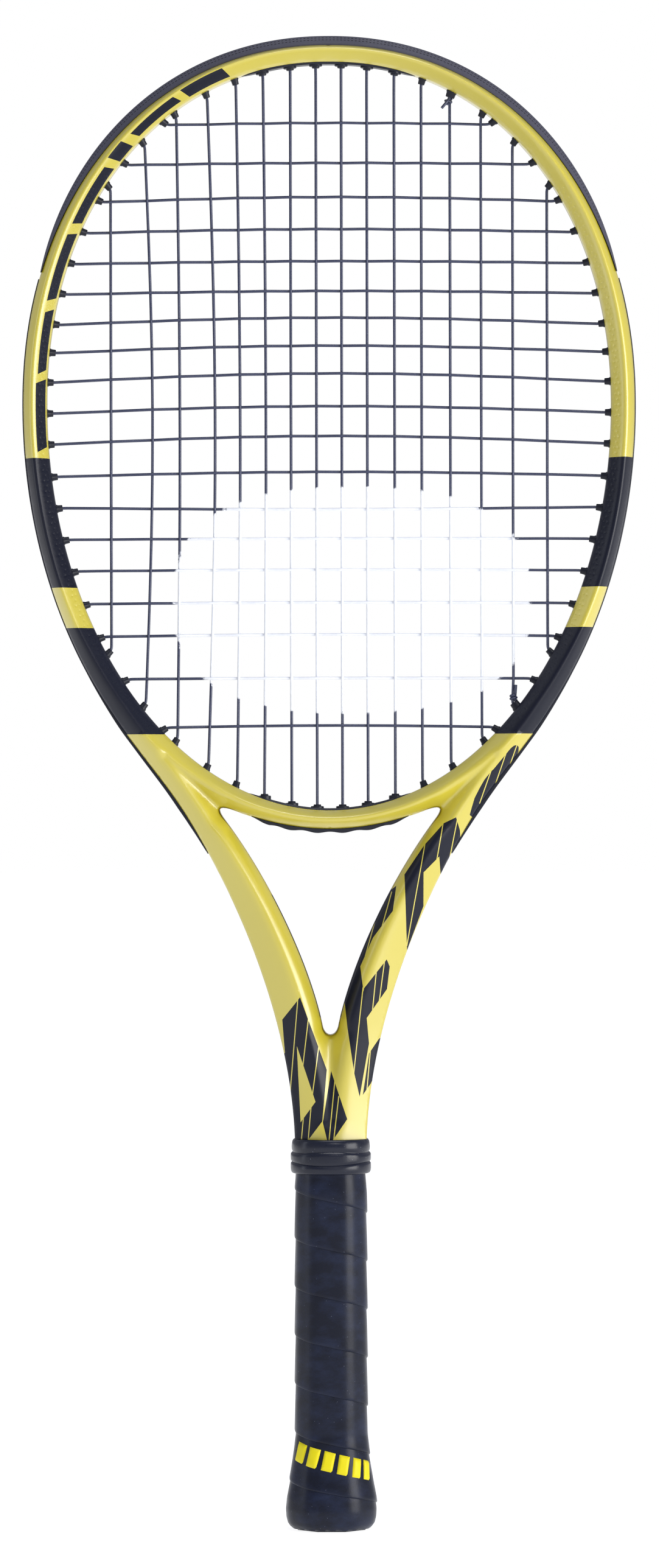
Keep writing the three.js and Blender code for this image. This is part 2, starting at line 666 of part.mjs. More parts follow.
// Two turns of the tail drawn tight round the main beside it.
function knot(x, height) {
  const turns = [-KNOT.pitch / 2, KNOT.pitch / 2].map((lift) => {
    const turn = new THREE.TorusGeometry(KNOT.radius, KNOT.tube, 6, 8);
    turn.translate(x, -PAIR_SHIFT / 2, height + lift);
    return solid(turn);
  });
  return joined(turns);
}

function stringBody() {
  const route = stringRoute();
  const circle = Array.from({ length: STRING_SIDES }, (_, index) => {
    const angle = 2 * Math.PI * index / STRING_SIDES;
    return new THREE.Vector2(Math.cos(angle), Math.sin(angle)).multiplyScalar(STRING_RADIUS);
  });
  const geometry = new THREE.ExtrudeGeometry(new THREE.Shape(circle), {
    steps: route.length - 1,
    extrudePath: new PointPath(route),
    bevelEnabled: false,
  });
  const low = mainBottoms[START_MAIN].mouth.y + KNOT.clear;
  const high = mainTops[FINISH_MAIN].mouth.y - KNOT.clear;
  return joined([solid(geometry), knot(mainX(START_MAIN), low), knot(mainX(FINISH_MAIN), high)]);
}

// ---------------------------------------------------------------- handle

function shaftClearance() {
  const half = COLLAR.holeHalfWidth;
  const { bottom, top } = SHAFT_RELIEF;
  const corners = [[-half, bottom], [half, bottom], [half, top], [-half, top]];
  const shape = new THREE.Shape(corners.map(([x, z]) => new THREE.Vector2(x, z)));
  const round = octagon([[0, bottom], [COLLAR.inside, bottom], [COLLAR.inside, top], [0, top]]);
  return plate(shape, COLLAR.holeDepth, BEAM_BEVEL).intersect(round);
}

function legClearance() {
  const low = LEG.bottom - 2;
  const top = PALLET.top + 5;
  const half = LEG.depth / 2 + GAP;
  return [-1, 1].map((side) => {
    const sides = [side * (LEG.near - GAP), side * (LEG.far + GAP)].sort((a, b) => a - b);
    return box([sides[0], -half, low], [sides[1], half, top]);
  });
}

// One wire staple on each side: a crown along Y, with its legs pointing at the middle.
function staple(side, grow) {
  const wire = STAPLE.wire / 2 + grow;
  const halfCrown = STAPLE.crown / 2 + grow;
  const xs = (near, far) => [side * near, side * far].sort((a, b) => a - b);
  const low = STAPLE.height - wire;
  const high = STAPLE.height + wire;
  const crownX = xs(STAPLE.inside - grow, STAPLE.outside + grow * 4);
  const legX = xs(STAPLE.tip - grow, STAPLE.outside - GAP / 2);
  const crown = box([crownX[0], -halfCrown, low], [crownX[1], halfCrown, high]);
  const legs = [-1, 1].map((end) => {
    const ys = [end * halfCrown, end * (halfCrown - 2 * wire)].sort((a, b) => a - b);
    return box([legX[0], ys[0], low], [legX[1], ys[1], high]);
  });
  return joined([crown, ...legs]);
}

const stapleSlots = () => [staple(-1, GAP), staple(1, GAP)];

function handlePallet() {
  const { seat, apothem, bottom, seatTop, top } = PALLET;
  const block = octagon([
    [0, bottom], [seat, bottom], [seat, seatTop], [apothem, seatTop], [apothem, top], [0, top],
  ]);
  return cutAway(block, [...legClearance(), ...stapleSlots()]);
}

function buttCap() {
  const inside = [[CAP.inside, CAP_FLARE.at(-1)[1]], [CAP.inside, CAP.floor], [0, CAP.floor]];
  const cup = octagon([[0, 0], ...CAP_FLARE, ...inside]);
  const { halfX, halfY, lip, plate: thick } = DOOR;
  const opening = box([-halfX, -halfY, -1], [halfX, halfY, CAP.floor + 1]);
  const recess = box([-halfX - lip, -halfY - lip, -1], [halfX + lip, halfY + lip, thick + GAP]);
  return cutAway(cup, [opening, recess, ...stapleSlots()]);
}

function buttCapDoor() {
  const x = DOOR.halfX - GAP;
  const y = DOOR.halfY - GAP;
  const cover = box([-x - DOOR.lip, -y - DOOR.lip, 0], [x + DOOR.lip, y + DOOR.lip, DOOR.plate]);
  const insideX = x - DOOR.wall;
  const insideY = y - DOOR.wall;
  const plug = box([-x, -y, DOOR.plate - STRIP.lap], [x, y, DOOR.plugTop]);
  const hollow = box([-insideX, -insideY, DOOR.plate], [insideX, insideY, DOOR.plugTop + 1]);
  return cover.add(plug).subtract(hollow);
}

function baseGrip() {
  const lining = CAP_FLARE.filter(([, height]) => height > GRIP_FLARE[0][1]);
  const inside = lining.map(([apothem, height]) => [apothem + GAP, height]).reverse();
  const outside = [...GRIP_FLARE, [GRIP.outside, GRIP.neckBottom], [GRIP.neck, GRIP.neckBottom + 1]];
  return octagon([
    ...outside,
    [GRIP.neck, GRIP.top],
    [GRIP.inside, GRIP.top],
    [GRIP.inside, PALLET.seatTop + 1],
    ...inside,
    [GRIP.foot, GRIP_FLARE[0][1]],
    outside[0],
  ]);
}

function finishingTape() {
  const { inside, outside, bottom, top } = TAPE;
  return octagon([[outside, bottom], [outside, top], [inside, top], [inside, bottom], [outside, bottom]]);
}

function gripCollar() {
  const { inside, lipBottom } = COLLAR;
  const top = COLLAR_OUTSIDE.at(-1)[1];
  const foot = COLLAR_OUTSIDE[0][1];
  const hollow = [[0, top], [0, lipBottom], [inside, lipBottom], [inside, foot]];
  return octagon([...COLLAR_OUTSIDE, ...hollow, COLLAR_OUTSIDE[0]]).subtract(shaftClearance());
}

// ---------------------------------------------------------------- assembly

const racket = new THREE.Group();

function place(name, body, material) {
  const mesh = new THREE.Mesh(geometryOf(body), material());
  mesh.name = name;
  racket.add(mesh);
}

place('frame', frameBody(), yellowPaint);
place('head_bumper', headBumper(), bumperPlastic);
place('side_grommet_strip_left', sideStrip(-1), grommetPlastic);
place('side_grommet_strip_right', sideStrip(1), grommetPlastic);
place('throat_grommet_strip', throatStrip(), grommetPlastic);
mainBottoms.forEach((hole, main) => {
  const position = placeOf(main);
  if (!isCornerMain(position)) return;
  const side = hole.wall.x < 0 ? 'left' : 'right';
  place(`corner_grommet_${side}_${position - 2}`, cornerGrommet(hole), grommetPlastic);
});
place('string', stringBody(), stringCoating);
place('handle_pallet', handlePallet(), foamPallet);
place('butt_cap', buttCap(), capPlastic);
place('butt_cap_door', buttCapDoor(), capPlastic);
place('butt_cap_staple_left', staple(-1, 0), stapleSteel);
place('butt_cap_staple_right', staple(1, 0), stapleSteel);
place('base_grip', baseGrip(), gripSkin);
place('grip_finishing_tape', finishingTape(), tapeFilm);
place('grip_collar', gripCollar(), collarRubber);

export default racket;
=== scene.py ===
import math
from contextlib import contextmanager

import bmesh
import bpy
import numpy as np
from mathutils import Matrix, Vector
from mathutils.geometry import delaunay_2d_cdt


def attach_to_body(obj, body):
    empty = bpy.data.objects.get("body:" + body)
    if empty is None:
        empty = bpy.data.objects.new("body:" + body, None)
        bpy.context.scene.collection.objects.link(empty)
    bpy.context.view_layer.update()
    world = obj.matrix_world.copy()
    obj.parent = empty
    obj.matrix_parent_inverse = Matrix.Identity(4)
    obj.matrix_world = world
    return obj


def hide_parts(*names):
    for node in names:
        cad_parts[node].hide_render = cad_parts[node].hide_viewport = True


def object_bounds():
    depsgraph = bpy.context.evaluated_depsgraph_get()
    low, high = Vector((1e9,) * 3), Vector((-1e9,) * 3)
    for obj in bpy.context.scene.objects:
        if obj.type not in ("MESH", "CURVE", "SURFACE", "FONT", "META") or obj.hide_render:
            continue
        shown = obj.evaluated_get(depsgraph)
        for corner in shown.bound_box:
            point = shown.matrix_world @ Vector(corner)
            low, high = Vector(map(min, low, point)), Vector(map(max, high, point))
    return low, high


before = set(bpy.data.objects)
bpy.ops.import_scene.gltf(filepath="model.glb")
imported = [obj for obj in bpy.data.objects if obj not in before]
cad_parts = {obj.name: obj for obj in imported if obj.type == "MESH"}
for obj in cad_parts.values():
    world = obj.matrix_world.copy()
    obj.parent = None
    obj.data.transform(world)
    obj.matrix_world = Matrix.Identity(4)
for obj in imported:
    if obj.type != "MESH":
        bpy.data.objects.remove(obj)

CAD_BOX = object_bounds()
RACKET, COLLAR = "racket", "collar"       # butt_door only carries a CAD piece
MM = 0.001                        # every length below is in millimetres
FLIP = np.array((-1.0, 1.0))      # turns a point of the right half into one of the left half

# ---- driving sizes

HEAD_CENTRE = 497.0
INNER = {"half_width": 125.1, "up": 152.2, "down": 179.2}
OUTER = {"half_width": 135.2, "up": 159.4, "down": 193.0}
SHOULDER_POWER = 2.12
ARM_TOP = 350.0
ARM_HANDLE = 58.3
ARM_PULL = (17.0, 233.0)
ARM_SWELL = {"size": 1.2, "height": 342.0, "reach": 16.0}
SHAFT_HALF_WIDTH = 15.8
SHAFT_TOP = 170.0
SHAFT_FOOT = 163.0
BRIDGE_UNDERSIDE = 309.8
BRIDGE_CORNER = (42.0, 318.0)
THROAT_FILLET = (52.7, 321.9)
THROAT_SIDE_TOP = (46.8, 314.0)
THROAT_SIDE_HANDLES = ((24.5, 284.0), (8.8, 247.0))
THROAT_FOOT = (3.7, 223.0)
THROAT_FOOT_HANDLE = (2.9, 217.0)

# The frame's section: its edges are this deep from the middle, and it rises to a ridge.
EDGE_DEPTH = 5.5
RIDGE_DEPTH = 12.0
RIDGE_SOFTNESS = {"height": (270, 345, 400), "size": (4.2, 2.6, 2.1)}
EDGE_ROUNDING = 0.8
# How far the ridge is from the outer edge: a part of the width on the hoop, and a distance on the arms.
HOOP_RIDGE = {"height": (352, 365, 385, 400, 416, 560, 620, 650),
              "part": (0.5, 0.53, 0.47, 0.40, 0.375, 0.38, 0.33, 0.26)}
ARM_RIDGE = {"height": (163, 196, 221, 235, 250, 273, 300, 318, 329, 340, 352),
             "distance": (15.8, 15.8, 15.2, 14.2, 13.2, 12.0, 8.9, 8.0, 7.4, 6.6, 5.8)}
BRIDGE_RIDGE = {"height": (319, 330, 352), "distance": (4.0, 5.0, 5.8)}
THROAT_RIDGE = 4.8
# Creases that run on from the throat's corners and foot: start, end, depth at each, and rounding.
CORNER_CREASE = ((47.8, 317.4), (72.5, 341.5), 5.5, 13.2, 1.6)
FOOT_CREASE = ((0.0, 219.0), (0.0, 182.0), 5.5, 13.2, 3.0)

GROOVE = {"floor": 3.0, "half_width": 4.6, "bottom": 296.0}
BRIDGE_GROOVE_REACH = 35.2
TUBE_END = {"near": 3.5, "far": 11.3, "half_depth": 9.5, "height": (16.0, SHAFT_FOOT - 0.01)}

# String bed.
MAIN_OFFSETS = (5.6, 16.9, 29.0, 41.0, 53.7, 67.4, 81.4, 96.6)
MAIN_BOWS = (0, 3.2, 1.3, 3.2, 1.6, 1, 0, 0, 0, 0, 0, 0, 0, 0, 0, 0)
CROSS_HEIGHTS = (
    621.5, 603.8, 587.4, 573.7, 560.0, 546.6, 533.1, 520.7, 507.6, 493.9,
    480.2, 465.9, 452.0, 438.0, 424.0, 409.5, 395.0, 376.2, 354.7)
CROSS_BOWS = (
    0.8, 0.8, 2.1, 1.6, 1.1, 1.3, 3.0, 3.0, 3.8, 3.0,
    3.5, 1.9, -0.8, 0.3, 0.5, 0.5, 0.8, 0.3, 0.8)
STRING_RADIUS = 0.64
STRING_SIDES = 8
CROSS_WEAVE = 0.98
MAIN_WEAVE = 0.34
LANE = 1.7
LANE_RAMP = 3.0
LOOP_OFFSET = -0.7
MOUTH = 3.0
PAIR_SHIFT = 0.85
START_TAIL = (0.5, -1.4, 7.0)
FINISH_TAIL = ((-0.9, -1.3, -1.6), (-3.6, -1.4, -4.8))
START_MAIN = 14
FINISH_MAIN = 12
CORNER_DRILL = math.radians(-32)
BARREL_LEAN = 0.4                 # how far the barrels turn from the wall's normal towards their strings
BRIDGE_LOOP = 0.15

# Handle: eight-sided, a little shallower than wide, its front and back faces the widest.
HANDLE_DEPTH = 0.928
FACE_HALF_WIDTH = 0.51
SIDE_HALF_WIDTH = 0.41


# ---- mesh helpers

def make_object(name, vertices, faces, materials, face_materials=None, sharp=None):
    """A mesh object from points in millimetres."""
    mesh = bpy.data.meshes.new(name)
    mesh.from_pydata((np.asarray(vertices, dtype=float) * MM).tolist(), [], faces)
    for material in materials:
        mesh.materials.append(material)
    if face_materials is not None:
        mesh.polygons.foreach_set("material_index", np.asarray(face_materials, dtype=np.int32))
    mesh.shade_smooth()
    if sharp is not None:
        mesh.set_sharp_from_angle(angle=math.radians(sharp))
    mesh.validate()
    piece = bpy.data.objects.new(name, mesh)
    bpy.context.scene.collection.objects.link(piece)
    return piece


class Solid:
    """Collects the points and faces of one piece."""

    def __init__(self):
        self.vertices = []
        self.faces = []
        self.materials = []

    def add(self, vertices, faces, materials=None):
        start = len(self.vertices)
        self.vertices.extend([tuple(vertex) for vertex in vertices])
        self.faces.extend([tuple(start + corner for corner in face) for face in faces])
        self.materials.extend(materials or [0] * len(faces))

    def finish(self, name, materials, sharp=35):
        piece = make_object(name, self.vertices, self.faces, materials, self.materials, sharp)
        with edited(piece) as shape:
            bmesh.ops.recalc_face_normals(shape, faces=shape.faces)
        return piece


def attach(piece, body, node):
    """Puts a piece on its body, in place of a CAD node."""
    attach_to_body(piece, body)
    if node:
        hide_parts(node)


@contextmanager
def edited(piece):
    """A piece's mesh, open for editing."""
    shape = bmesh.new()
    shape.from_mesh(piece.data)
    yield shape
    shape.to_mesh(piece.data)
    shape.free()


def loft(sections, closed_path=False):
    """Points and faces of rings joined in order, and either closed to a circle or capped."""
    sides = len(sections[0])
    vertices = [point for ring in sections for point in ring]
    faces = []
    for ring in range(len(sections) if closed_path else len(sections) - 1):
        low, high = ring * sides, (ring + 1) % len(sections) * sides
        for side in range(sides):
            after = (side + 1) % sides
            faces.append((low + side, low + after, high + after, high + side))
    if not closed_path:
        faces.append(tuple(range(sides))[::-1])
        faces.append(tuple(range(len(vertices) - sides, len(vertices))))
    return vertices, faces


def tube(path, radius, sides):
    """A round tube along a list of points, with a frame carried along it."""
    path = np.asarray(path, dtype=float)
    along = np.gradient(path, axis=0)
    along /= np.linalg.norm(along, axis=1)[:, None]
    across = np.cross(along[0], (0.3, 1.0, 0.2))
    turns = 2 * np.pi * np.arange(sides) / sides
    rings = []
    for point, direction in zip(path, along):
        across = across - direction * np.dot(across, direction)
        across /= np.linalg.norm(across)
        other = np.cross(direction, across)
        rings.append(point + radius * (np.outer(np.cos(turns), across) + np.outer(np.sin(turns), other)))
    return loft(rings)


def lathe(profile, sides, origin, direction):
    """A closed profile of (radius, distance along) turned round an axis in the XZ plane."""
    origin = np.array((origin[0], 0.0, origin[1]))
    axis = np.array((direction[0], 0.0, direction[1]))
    across = np.array((-direction[1], 0.0, direction[0]))
    depth = np.array((0.0, 1.0, 0.0))
    rings = []
    for turn in 2 * np.pi * np.arange(sides) / sides:
        way = math.cos(turn) * across + math.sin(turn) * depth
        rings.append([tuple(origin + axis * reach + way * radius) for radius, reach in profile])
    return loft(rings, closed_path=True)


# ---- curves

def oval_points(oval, angles):
    angles = np.asarray(angles, dtype=float)
    above = np.sin(angles) > 0
    power = np.where(above, 2 / SHOULDER_POWER, 1.0)
    across = np.sign(np.cos(angles)) * np.abs(np.cos(angles)) ** power
    rise = np.abs(np.sin(angles)) ** power * np.where(above, oval["up"], -oval["down"])
    return np.column_stack([oval["half_width"] * across, HEAD_CENTRE + rise])


def bezier(controls, count=160, end=1.0):
    """Points of a Bezier curve of any degree, up to one place along it."""
    controls = np.asarray(controls, dtype=float)
    t = np.linspace(0, end, count)[:, None]
    degree = len(controls) - 1
    return sum(
        math.comb(degree, index) * t ** index * (1 - t) ** (degree - index) * controls[index]
        for index in range(degree + 1))


class Track:
    """A curve in the XZ plane measured along its length."""

    def __init__(self, points):
        points = np.asarray(points, dtype=float)
        steps = np.linalg.norm(np.diff(points, axis=0), axis=1)
        keep = np.concatenate([[True], steps > 1e-9])
        self.points = points[keep]
        steps = np.linalg.norm(np.diff(self.points, axis=0), axis=1)
        self.reach = np.concatenate([[0.0], np.cumsum(steps)])
        self.length = self.reach[-1]

    def at(self, distance):
        return np.column_stack([np.interp(distance, self.reach, self.points[:, axis]) for axis in (0, 1)])

    def direction(self, distance):
        distance = np.clip(np.asarray(distance, dtype=float), 0.15, self.length - 0.15)
        step = self.at(distance + 0.15) - self.at(distance - 0.15)
        return step / np.linalg.norm(step, axis=1)[:, None]

    def spaced(self, step):
        return np.linspace(0, self.length, max(2, round(self.length / step) + 1))

    def line(self, step):
        return self.at(self.spaced(step))


def outer_edge():
    """The right half of the outer edge, from the tip to the foot of the shaft."""
    lowest = -math.asin((HEAD_CENTRE - ARM_TOP) / OUTER["down"])
    oval = oval_points(OUTER, np.linspace(math.pi / 2, lowest, 600))
    leaving = oval[-1] - oval[-2]
    leaving /= np.linalg.norm(leaving)
    handle = oval[-1] + ARM_HANDLE * leaving
    arm = bezier([oval[-1], handle, ARM_PULL, (SHAFT_HALF_WIDTH, SHAFT_TOP)])
    edge = np.vstack([oval, arm[1:], [(SHAFT_HALF_WIDTH, SHAFT_FOOT)]])
    edge[:, 0] += ARM_SWELL["size"] * np.exp(-((edge[:, 1] - ARM_SWELL["height"]) / ARM_SWELL["reach"]) ** 2)
    return Track(edge)


def throat_edge():
    """The right half of the throat opening, from under the bridge round to its foot."""
    bow = (BRIDGE_CORNER[1] - BRIDGE_UNDERSIDE) / BRIDGE_CORNER[0] ** 2
    across = np.linspace(0, BRIDGE_CORNER[0], 80)
    underside = np.column_stack([across, BRIDGE_UNDERSIDE + bow * across ** 2])
    fillet = bezier([BRIDGE_CORNER, THROAT_FILLET, THROAT_SIDE_TOP], 40)
    side = bezier([THROAT_SIDE_TOP, *THROAT_SIDE_HANDLES, THROAT_FOOT], 120)
    turn, foot = THROAT_FOOT_HANDLE, THROAT_FOOT
    bottom = bezier([foot, turn, (-turn[0], turn[1]), (-foot[0], foot[1])], 30, end=0.5)
    return Track(np.vstack([underside, fillet[1:], side[1:], bottom[1:]]))


EDGE = outer_edge()
THROAT = throat_edge()
WALL = Track(oval_points(INNER, np.linspace(math.pi / 2, -math.pi / 2, 900)))


def edge_frame(station):
    """A point of the outer edge and the way out from it; station is -1..1, negative on the left."""
    distance = np.array([abs(station) * EDGE.length])
    point = EDGE.at(distance)[0]
    along = EDGE.direction(distance)[0]
    side = -1 if station < 0 else 1
    return np.array((side * point[0], point[1])), np.array((-side * along[1], along[0]))


def edge_point(station, offset):
    point, out = edge_frame(station)
    return point + out * offset


def bisect(low, high, miss):
    low_is_negative = miss(low) < 0
    for _ in range(36):
        middle = (low + high) / 2
        if (miss(middle) < 0) == low_is_negative:
            low = middle
        else:
            high = middle
    return (low + high) / 2


def station_at(height):
    return bisect(0, 1, lambda station: edge_point(station, 0)[1] - height)


def wall_at(angle):
    """The hoop's inner wall at an angle, and the way straight out through it."""
    step = 1e-4
    around = oval_points(INNER, [angle - step, angle, angle + step])
    along = around[2] - around[0]
    along /= np.linalg.norm(along)
    return around[1], np.array((along[1], -along[0]))


def bridge_point(x, raised):
    bow = (BRIDGE_CORNER[1] - BRIDGE_UNDERSIDE) / BRIDGE_CORNER[0] ** 2
    return np.array((x, BRIDGE_UNDERSIDE + bow * x * x + raised))


# ---- string holes

def edge_hole(low, high, axis, value, direction=None):
    """A hole through the hoop whose string, just inside the wall, is at one distance or height.

    The hole goes straight through the wall or in a given direction, and its barrel leans to the string."""
    def solved(turned):
        def miss(angle):
            wall, out = wall_at(angle)
            return (wall - MOUTH * turned(out))[axis] - value

        wall, out = wall_at(bisect(low, high, miss))
        return wall, turned(out)

    def leaning(out):
        lean = out + ((0.0, math.copysign(BARREL_LEAN, out[1])) if axis == 0 else (BARREL_LEAN, 0.0))
        return lean / np.linalg.norm(lean)

    wall, out = solved(lambda straight: straight if direction is None else direction)
    place, lean = solved(leaning)

    def beside(station):
        gap = edge_point(station, LOOP_OFFSET) - wall
        return out[0] * gap[1] - out[1] * gap[0]

    station = bisect(0, 1, beside)
    corner = edge_point(station, LOOP_OFFSET)
    return {"wall": place, "out": out, "lean": lean, "station": station, "corner": corner}


def bridge_hole(offset):
    wall = oval_points(INNER, [-math.acos(offset / INNER["half_width"])])[0]
    out = np.array((0.0, -1.0))
    corner = bridge_point(offset, BRIDGE_LOOP)
    return {"wall": wall, "out": out, "lean": out, "station": None, "corner": corner}


def mirrored_hole(hole):
    station = None if hole["station"] is None else -hole["station"]
    flipped = {part: hole[part] * FLIP for part in ("wall", "out", "lean", "corner")}
    return {**flipped, "station": station}


def is_bridge_main(place):
    """Whether a main, counted from the middle, ends in the throat strip."""
    return place < 3


def is_corner_main(place):
    """Whether it ends in a corner grommet of its own."""
    return 3 <= place < 6


def main_bottom(place):
    if is_bridge_main(place):
        return bridge_hole(MAIN_OFFSETS[place])
    corner = np.array((math.cos(CORNER_DRILL), math.sin(CORNER_DRILL)))
    return edge_hole(-QUARTER, 0, 0, MAIN_OFFSETS[place], corner if is_corner_main(place) else None)


def both_sides(right):
    holes = [mirrored_hole(hole) for hole in reversed(right)] + list(right)
    for hole in holes:
        hole["mouth"] = hole["wall"] - MOUTH * hole["lean"]
    return holes


QUARTER = math.pi / 2 - 0.01
PLACES = range(len(MAIN_OFFSETS))
MAIN_TOPS = both_sides([edge_hole(QUARTER, 0, 0, MAIN_OFFSETS[place]) for place in PLACES])
MAIN_BOTTOMS = both_sides([main_bottom(place) for place in PLACES])
CROSS_ENDS = both_sides([edge_hole(-QUARTER, QUARTER, 1, height) for height in CROSS_HEIGHTS])
CROSSES = len(CROSS_HEIGHTS)
CROSS_LEFTS = CROSS_ENDS[:CROSSES][::-1]
CROSS_RIGHTS = CROSS_ENDS[CROSSES:]
MAINS = len(MAIN_TOPS)
ALL_HOLES = MAIN_TOPS + MAIN_BOTTOMS + CROSS_ENDS


def place_of(main):
    return MAINS // 2 - 1 - main if main < MAINS // 2 else main - MAINS // 2


def main_x(main):
    return (-1 if main < MAINS // 2 else 1) * MAIN_OFFSETS[place_of(main)]


# ---- materials

def linear(red, green, blue):
    """A screen colour, 0 to 255, as the linear colour that shaders use."""
    def channel(value):
        value /= 255
        return value / 12.92 if value <= 0.04045 else ((value + 0.055) / 1.055) ** 2.4
    return (channel(red), channel(green), channel(blue), 1.0)


class Shader:
    """A material with one Principled shader, and short ways to add what feeds it."""

    def __init__(self, name, **sockets):
        self.material = bpy.data.materials.new(name)
        self.material.use_nodes = True
        self.nodes = self.material.node_tree.nodes
        self.links = self.material.node_tree.links
        self.surface = next(node for node in self.nodes if node.type == "BSDF_PRINCIPLED")
        for socket, value in sockets.items():
            self.surface.inputs[socket.replace("_", " ")].default_value = value
        self.place = self.nodes.new("ShaderNodeTexCoord").outputs["Object"]

    def noise(self, scale, detail=3.0, roughness=0.5, stretch=None):
        node = self.nodes.new("ShaderNodeTexNoise")
        node.inputs["Scale"].default_value = scale
        node.inputs["Detail"].default_value = detail
        node.inputs["Roughness"].default_value = roughness
        place = self.place
        if stretch:
            mapping = self.nodes.new("ShaderNodeMapping")
            mapping.inputs["Scale"].default_value = stretch
            self.links.new(place, mapping.inputs["Vector"])
            place = mapping.outputs["Vector"]
        self.links.new(place, node.inputs["Vector"])
        return node.outputs["Fac"]

    def specks(self, scale, size):
        """Small round spots, 1 inside and 0 outside."""
        node = self.nodes.new("ShaderNodeTexVoronoi")
        node.inputs["Scale"].default_value = scale
        self.links.new(self.place, node.inputs["Vector"])
        return self.between(node.outputs["Distance"], size, size * 0.5, 0, 1)

    def between(self, value, low, high, start=0.0, end=1.0):
        node = self.nodes.new("ShaderNodeMapRange")
        for socket, number in zip(("From Min", "From Max", "To Min", "To Max"), (low, high, start, end)):
            node.inputs[socket].default_value = number
        self.links.new(value, node.inputs["Value"])
        return node.outputs["Result"]

    def math(self, operation, first, second):
        node = self.nodes.new("ShaderNodeMath")
        node.operation = operation
        for socket, value in zip(node.inputs, (first, second)):
            if isinstance(value, (int, float)):
                socket.default_value = value
            else:
                self.links.new(value, socket)
        return node.outputs["Value"]

    def mix(self, amount, first, second):
        node = self.nodes.new("ShaderNodeMix")
        node.data_type = "RGBA"
        for index, value in ((6, first), (7, second)):
            if isinstance(value, tuple):
                node.inputs[index].default_value = value
            else:
                self.links.new(value, node.inputs[index])
        self.links.new(amount, node.inputs[0])
        return node.outputs[2]

    def feed(self, socket, value):
        self.links.new(value, self.surface.inputs[socket])

    def color(self, pattern, first, second):
        """The base colour, mixed from two screen colours by a pattern."""
        self.feed("Base Color", self.mix(pattern, linear(*first), linear(*second)))

    def gloss(self, pattern, low, high):
        """Roughness that varies between two values with a noise pattern."""
        self.feed("Roughness", self.between(pattern, 0.3, 0.7, low, high))

    def bump(self, height, distance, strength=1.0):
        node = self.nodes.new("ShaderNodeBump")
        node.inputs["Distance"].default_value = distance
        node.inputs["Strength"].default_value = strength
        self.links.new(height, node.inputs["Height"])
        self.links.new(node.outputs["Normal"], self.surface.inputs["Normal"])


def paint(name, color, deep, roughness, coat, specular):
    """Sprayed lacquer: slight clouding, a fine ripple, and a clear coat."""
    shader = Shader(name, Coat_Weight=coat, Coat_Roughness=0.3, Coat_IOR=1.6, Specular_IOR_Level=specular)
    shader.color(shader.noise(14, 4), color, deep)
    shader.gloss(shader.noise(60, 3), roughness - 0.04, roughness + 0.05)
    shader.bump(shader.noise(260, 2), 0.00003, 0.12)
    return shader.material


def moulded(name, color, deep, roughness, grain=1400, depth=0.00005):
    """Moulded plastic: a fine matt grain, and duller patches from handling."""
    shader = Shader(name, Specular_IOR_Level=0.25)
    shader.color(shader.noise(30, 4), color, deep)
    shader.gloss(shader.noise(90, 4), roughness - 0.08, roughness + 0.08)
    shader.bump(shader.noise(grain, 2), depth, 0.7)
    return shader.material


# Centre and half size in metres, and how square it is.
WHITE_OVAL = {"X": (0.010, 0.079), "Z": (0.411, 0.050), "power": 2.6}


def string_material():
    """Slate string with a white painted oval in the lower part of the bed."""
    shader = Shader("string_coating", Specular_IOR_Level=0.5)
    split = shader.nodes.new("ShaderNodeSeparateXYZ")
    shader.links.new(shader.place, split.inputs["Vector"])

    def part_of_radius(axis, centre, half):
        part = shader.math("DIVIDE", shader.math("SUBTRACT", split.outputs[axis], centre), half)
        return shader.math("POWER", shader.math("ABSOLUTE", part, 0), WHITE_OVAL["power"])

    across = part_of_radius("X", *WHITE_OVAL["X"])
    up = part_of_radius("Z", *WHITE_OVAL["Z"])
    ragged = shader.math("ADD", shader.math("ADD", across, up),
                         shader.between(shader.noise(700, 3), 0.0, 1.0, -0.08, 0.08))
    painted = shader.between(ragged, 1.02, 0.98)
    slate = shader.mix(shader.noise(900, 3), linear(62, 68, 96), linear(48, 53, 76))
    white = shader.mix(shader.noise(500, 3), linear(244, 246, 250), linear(226, 231, 242))
    shader.feed("Base Color", shader.mix(painted, slate, white))
    shader.feed("Roughness", shader.between(painted, 0, 1, 0.26, 0.5))
    shader.bump(shader.noise(1100, 2), 0.00002, 0.3)
    return shader.material


def grip_material():
    """Synthetic leather: a soft sheen, cloudy handling marks, a fine grain and a little dust."""
    shader = Shader("grip_skin", Specular_IOR_Level=0.26)
    smears = shader.between(shader.noise(75, 6, 0.62, (1, 1, 1.7)), 0.42, 0.72)
    cloud = shader.mix(smears, linear(13, 18, 34), linear(29, 37, 61))
    dust = shader.specks(420, 0.055)
    shader.feed("Base Color", shader.mix(dust, cloud, linear(120, 126, 146)))
    shader.gloss(shader.noise(55, 5, 0.6), 0.28, 0.40)
    shader.bump(shader.noise(1500, 4), 0.00006, 0.6)
    return shader.material


def collar_material():
    """Rubber with the dust that it picks up."""
    shader = Shader("collar_rubber", Specular_IOR_Level=0.42)
    body = shader.mix(shader.noise(60, 5), linear(11, 15, 30), linear(20, 26, 46))
    patches = shader.between(shader.noise(130, 3), 0.54, 0.62)
    dust = shader.math("MULTIPLY", shader.specks(620, 0.11), patches)
    shader.feed("Base Color", shader.mix(dust, body, linear(150, 156, 170)))
    shader.gloss(shader.noise(80, 4), 0.22, 0.36)
    shader.bump(shader.noise(900, 4), 0.00006, 0.6)
    return shader.material


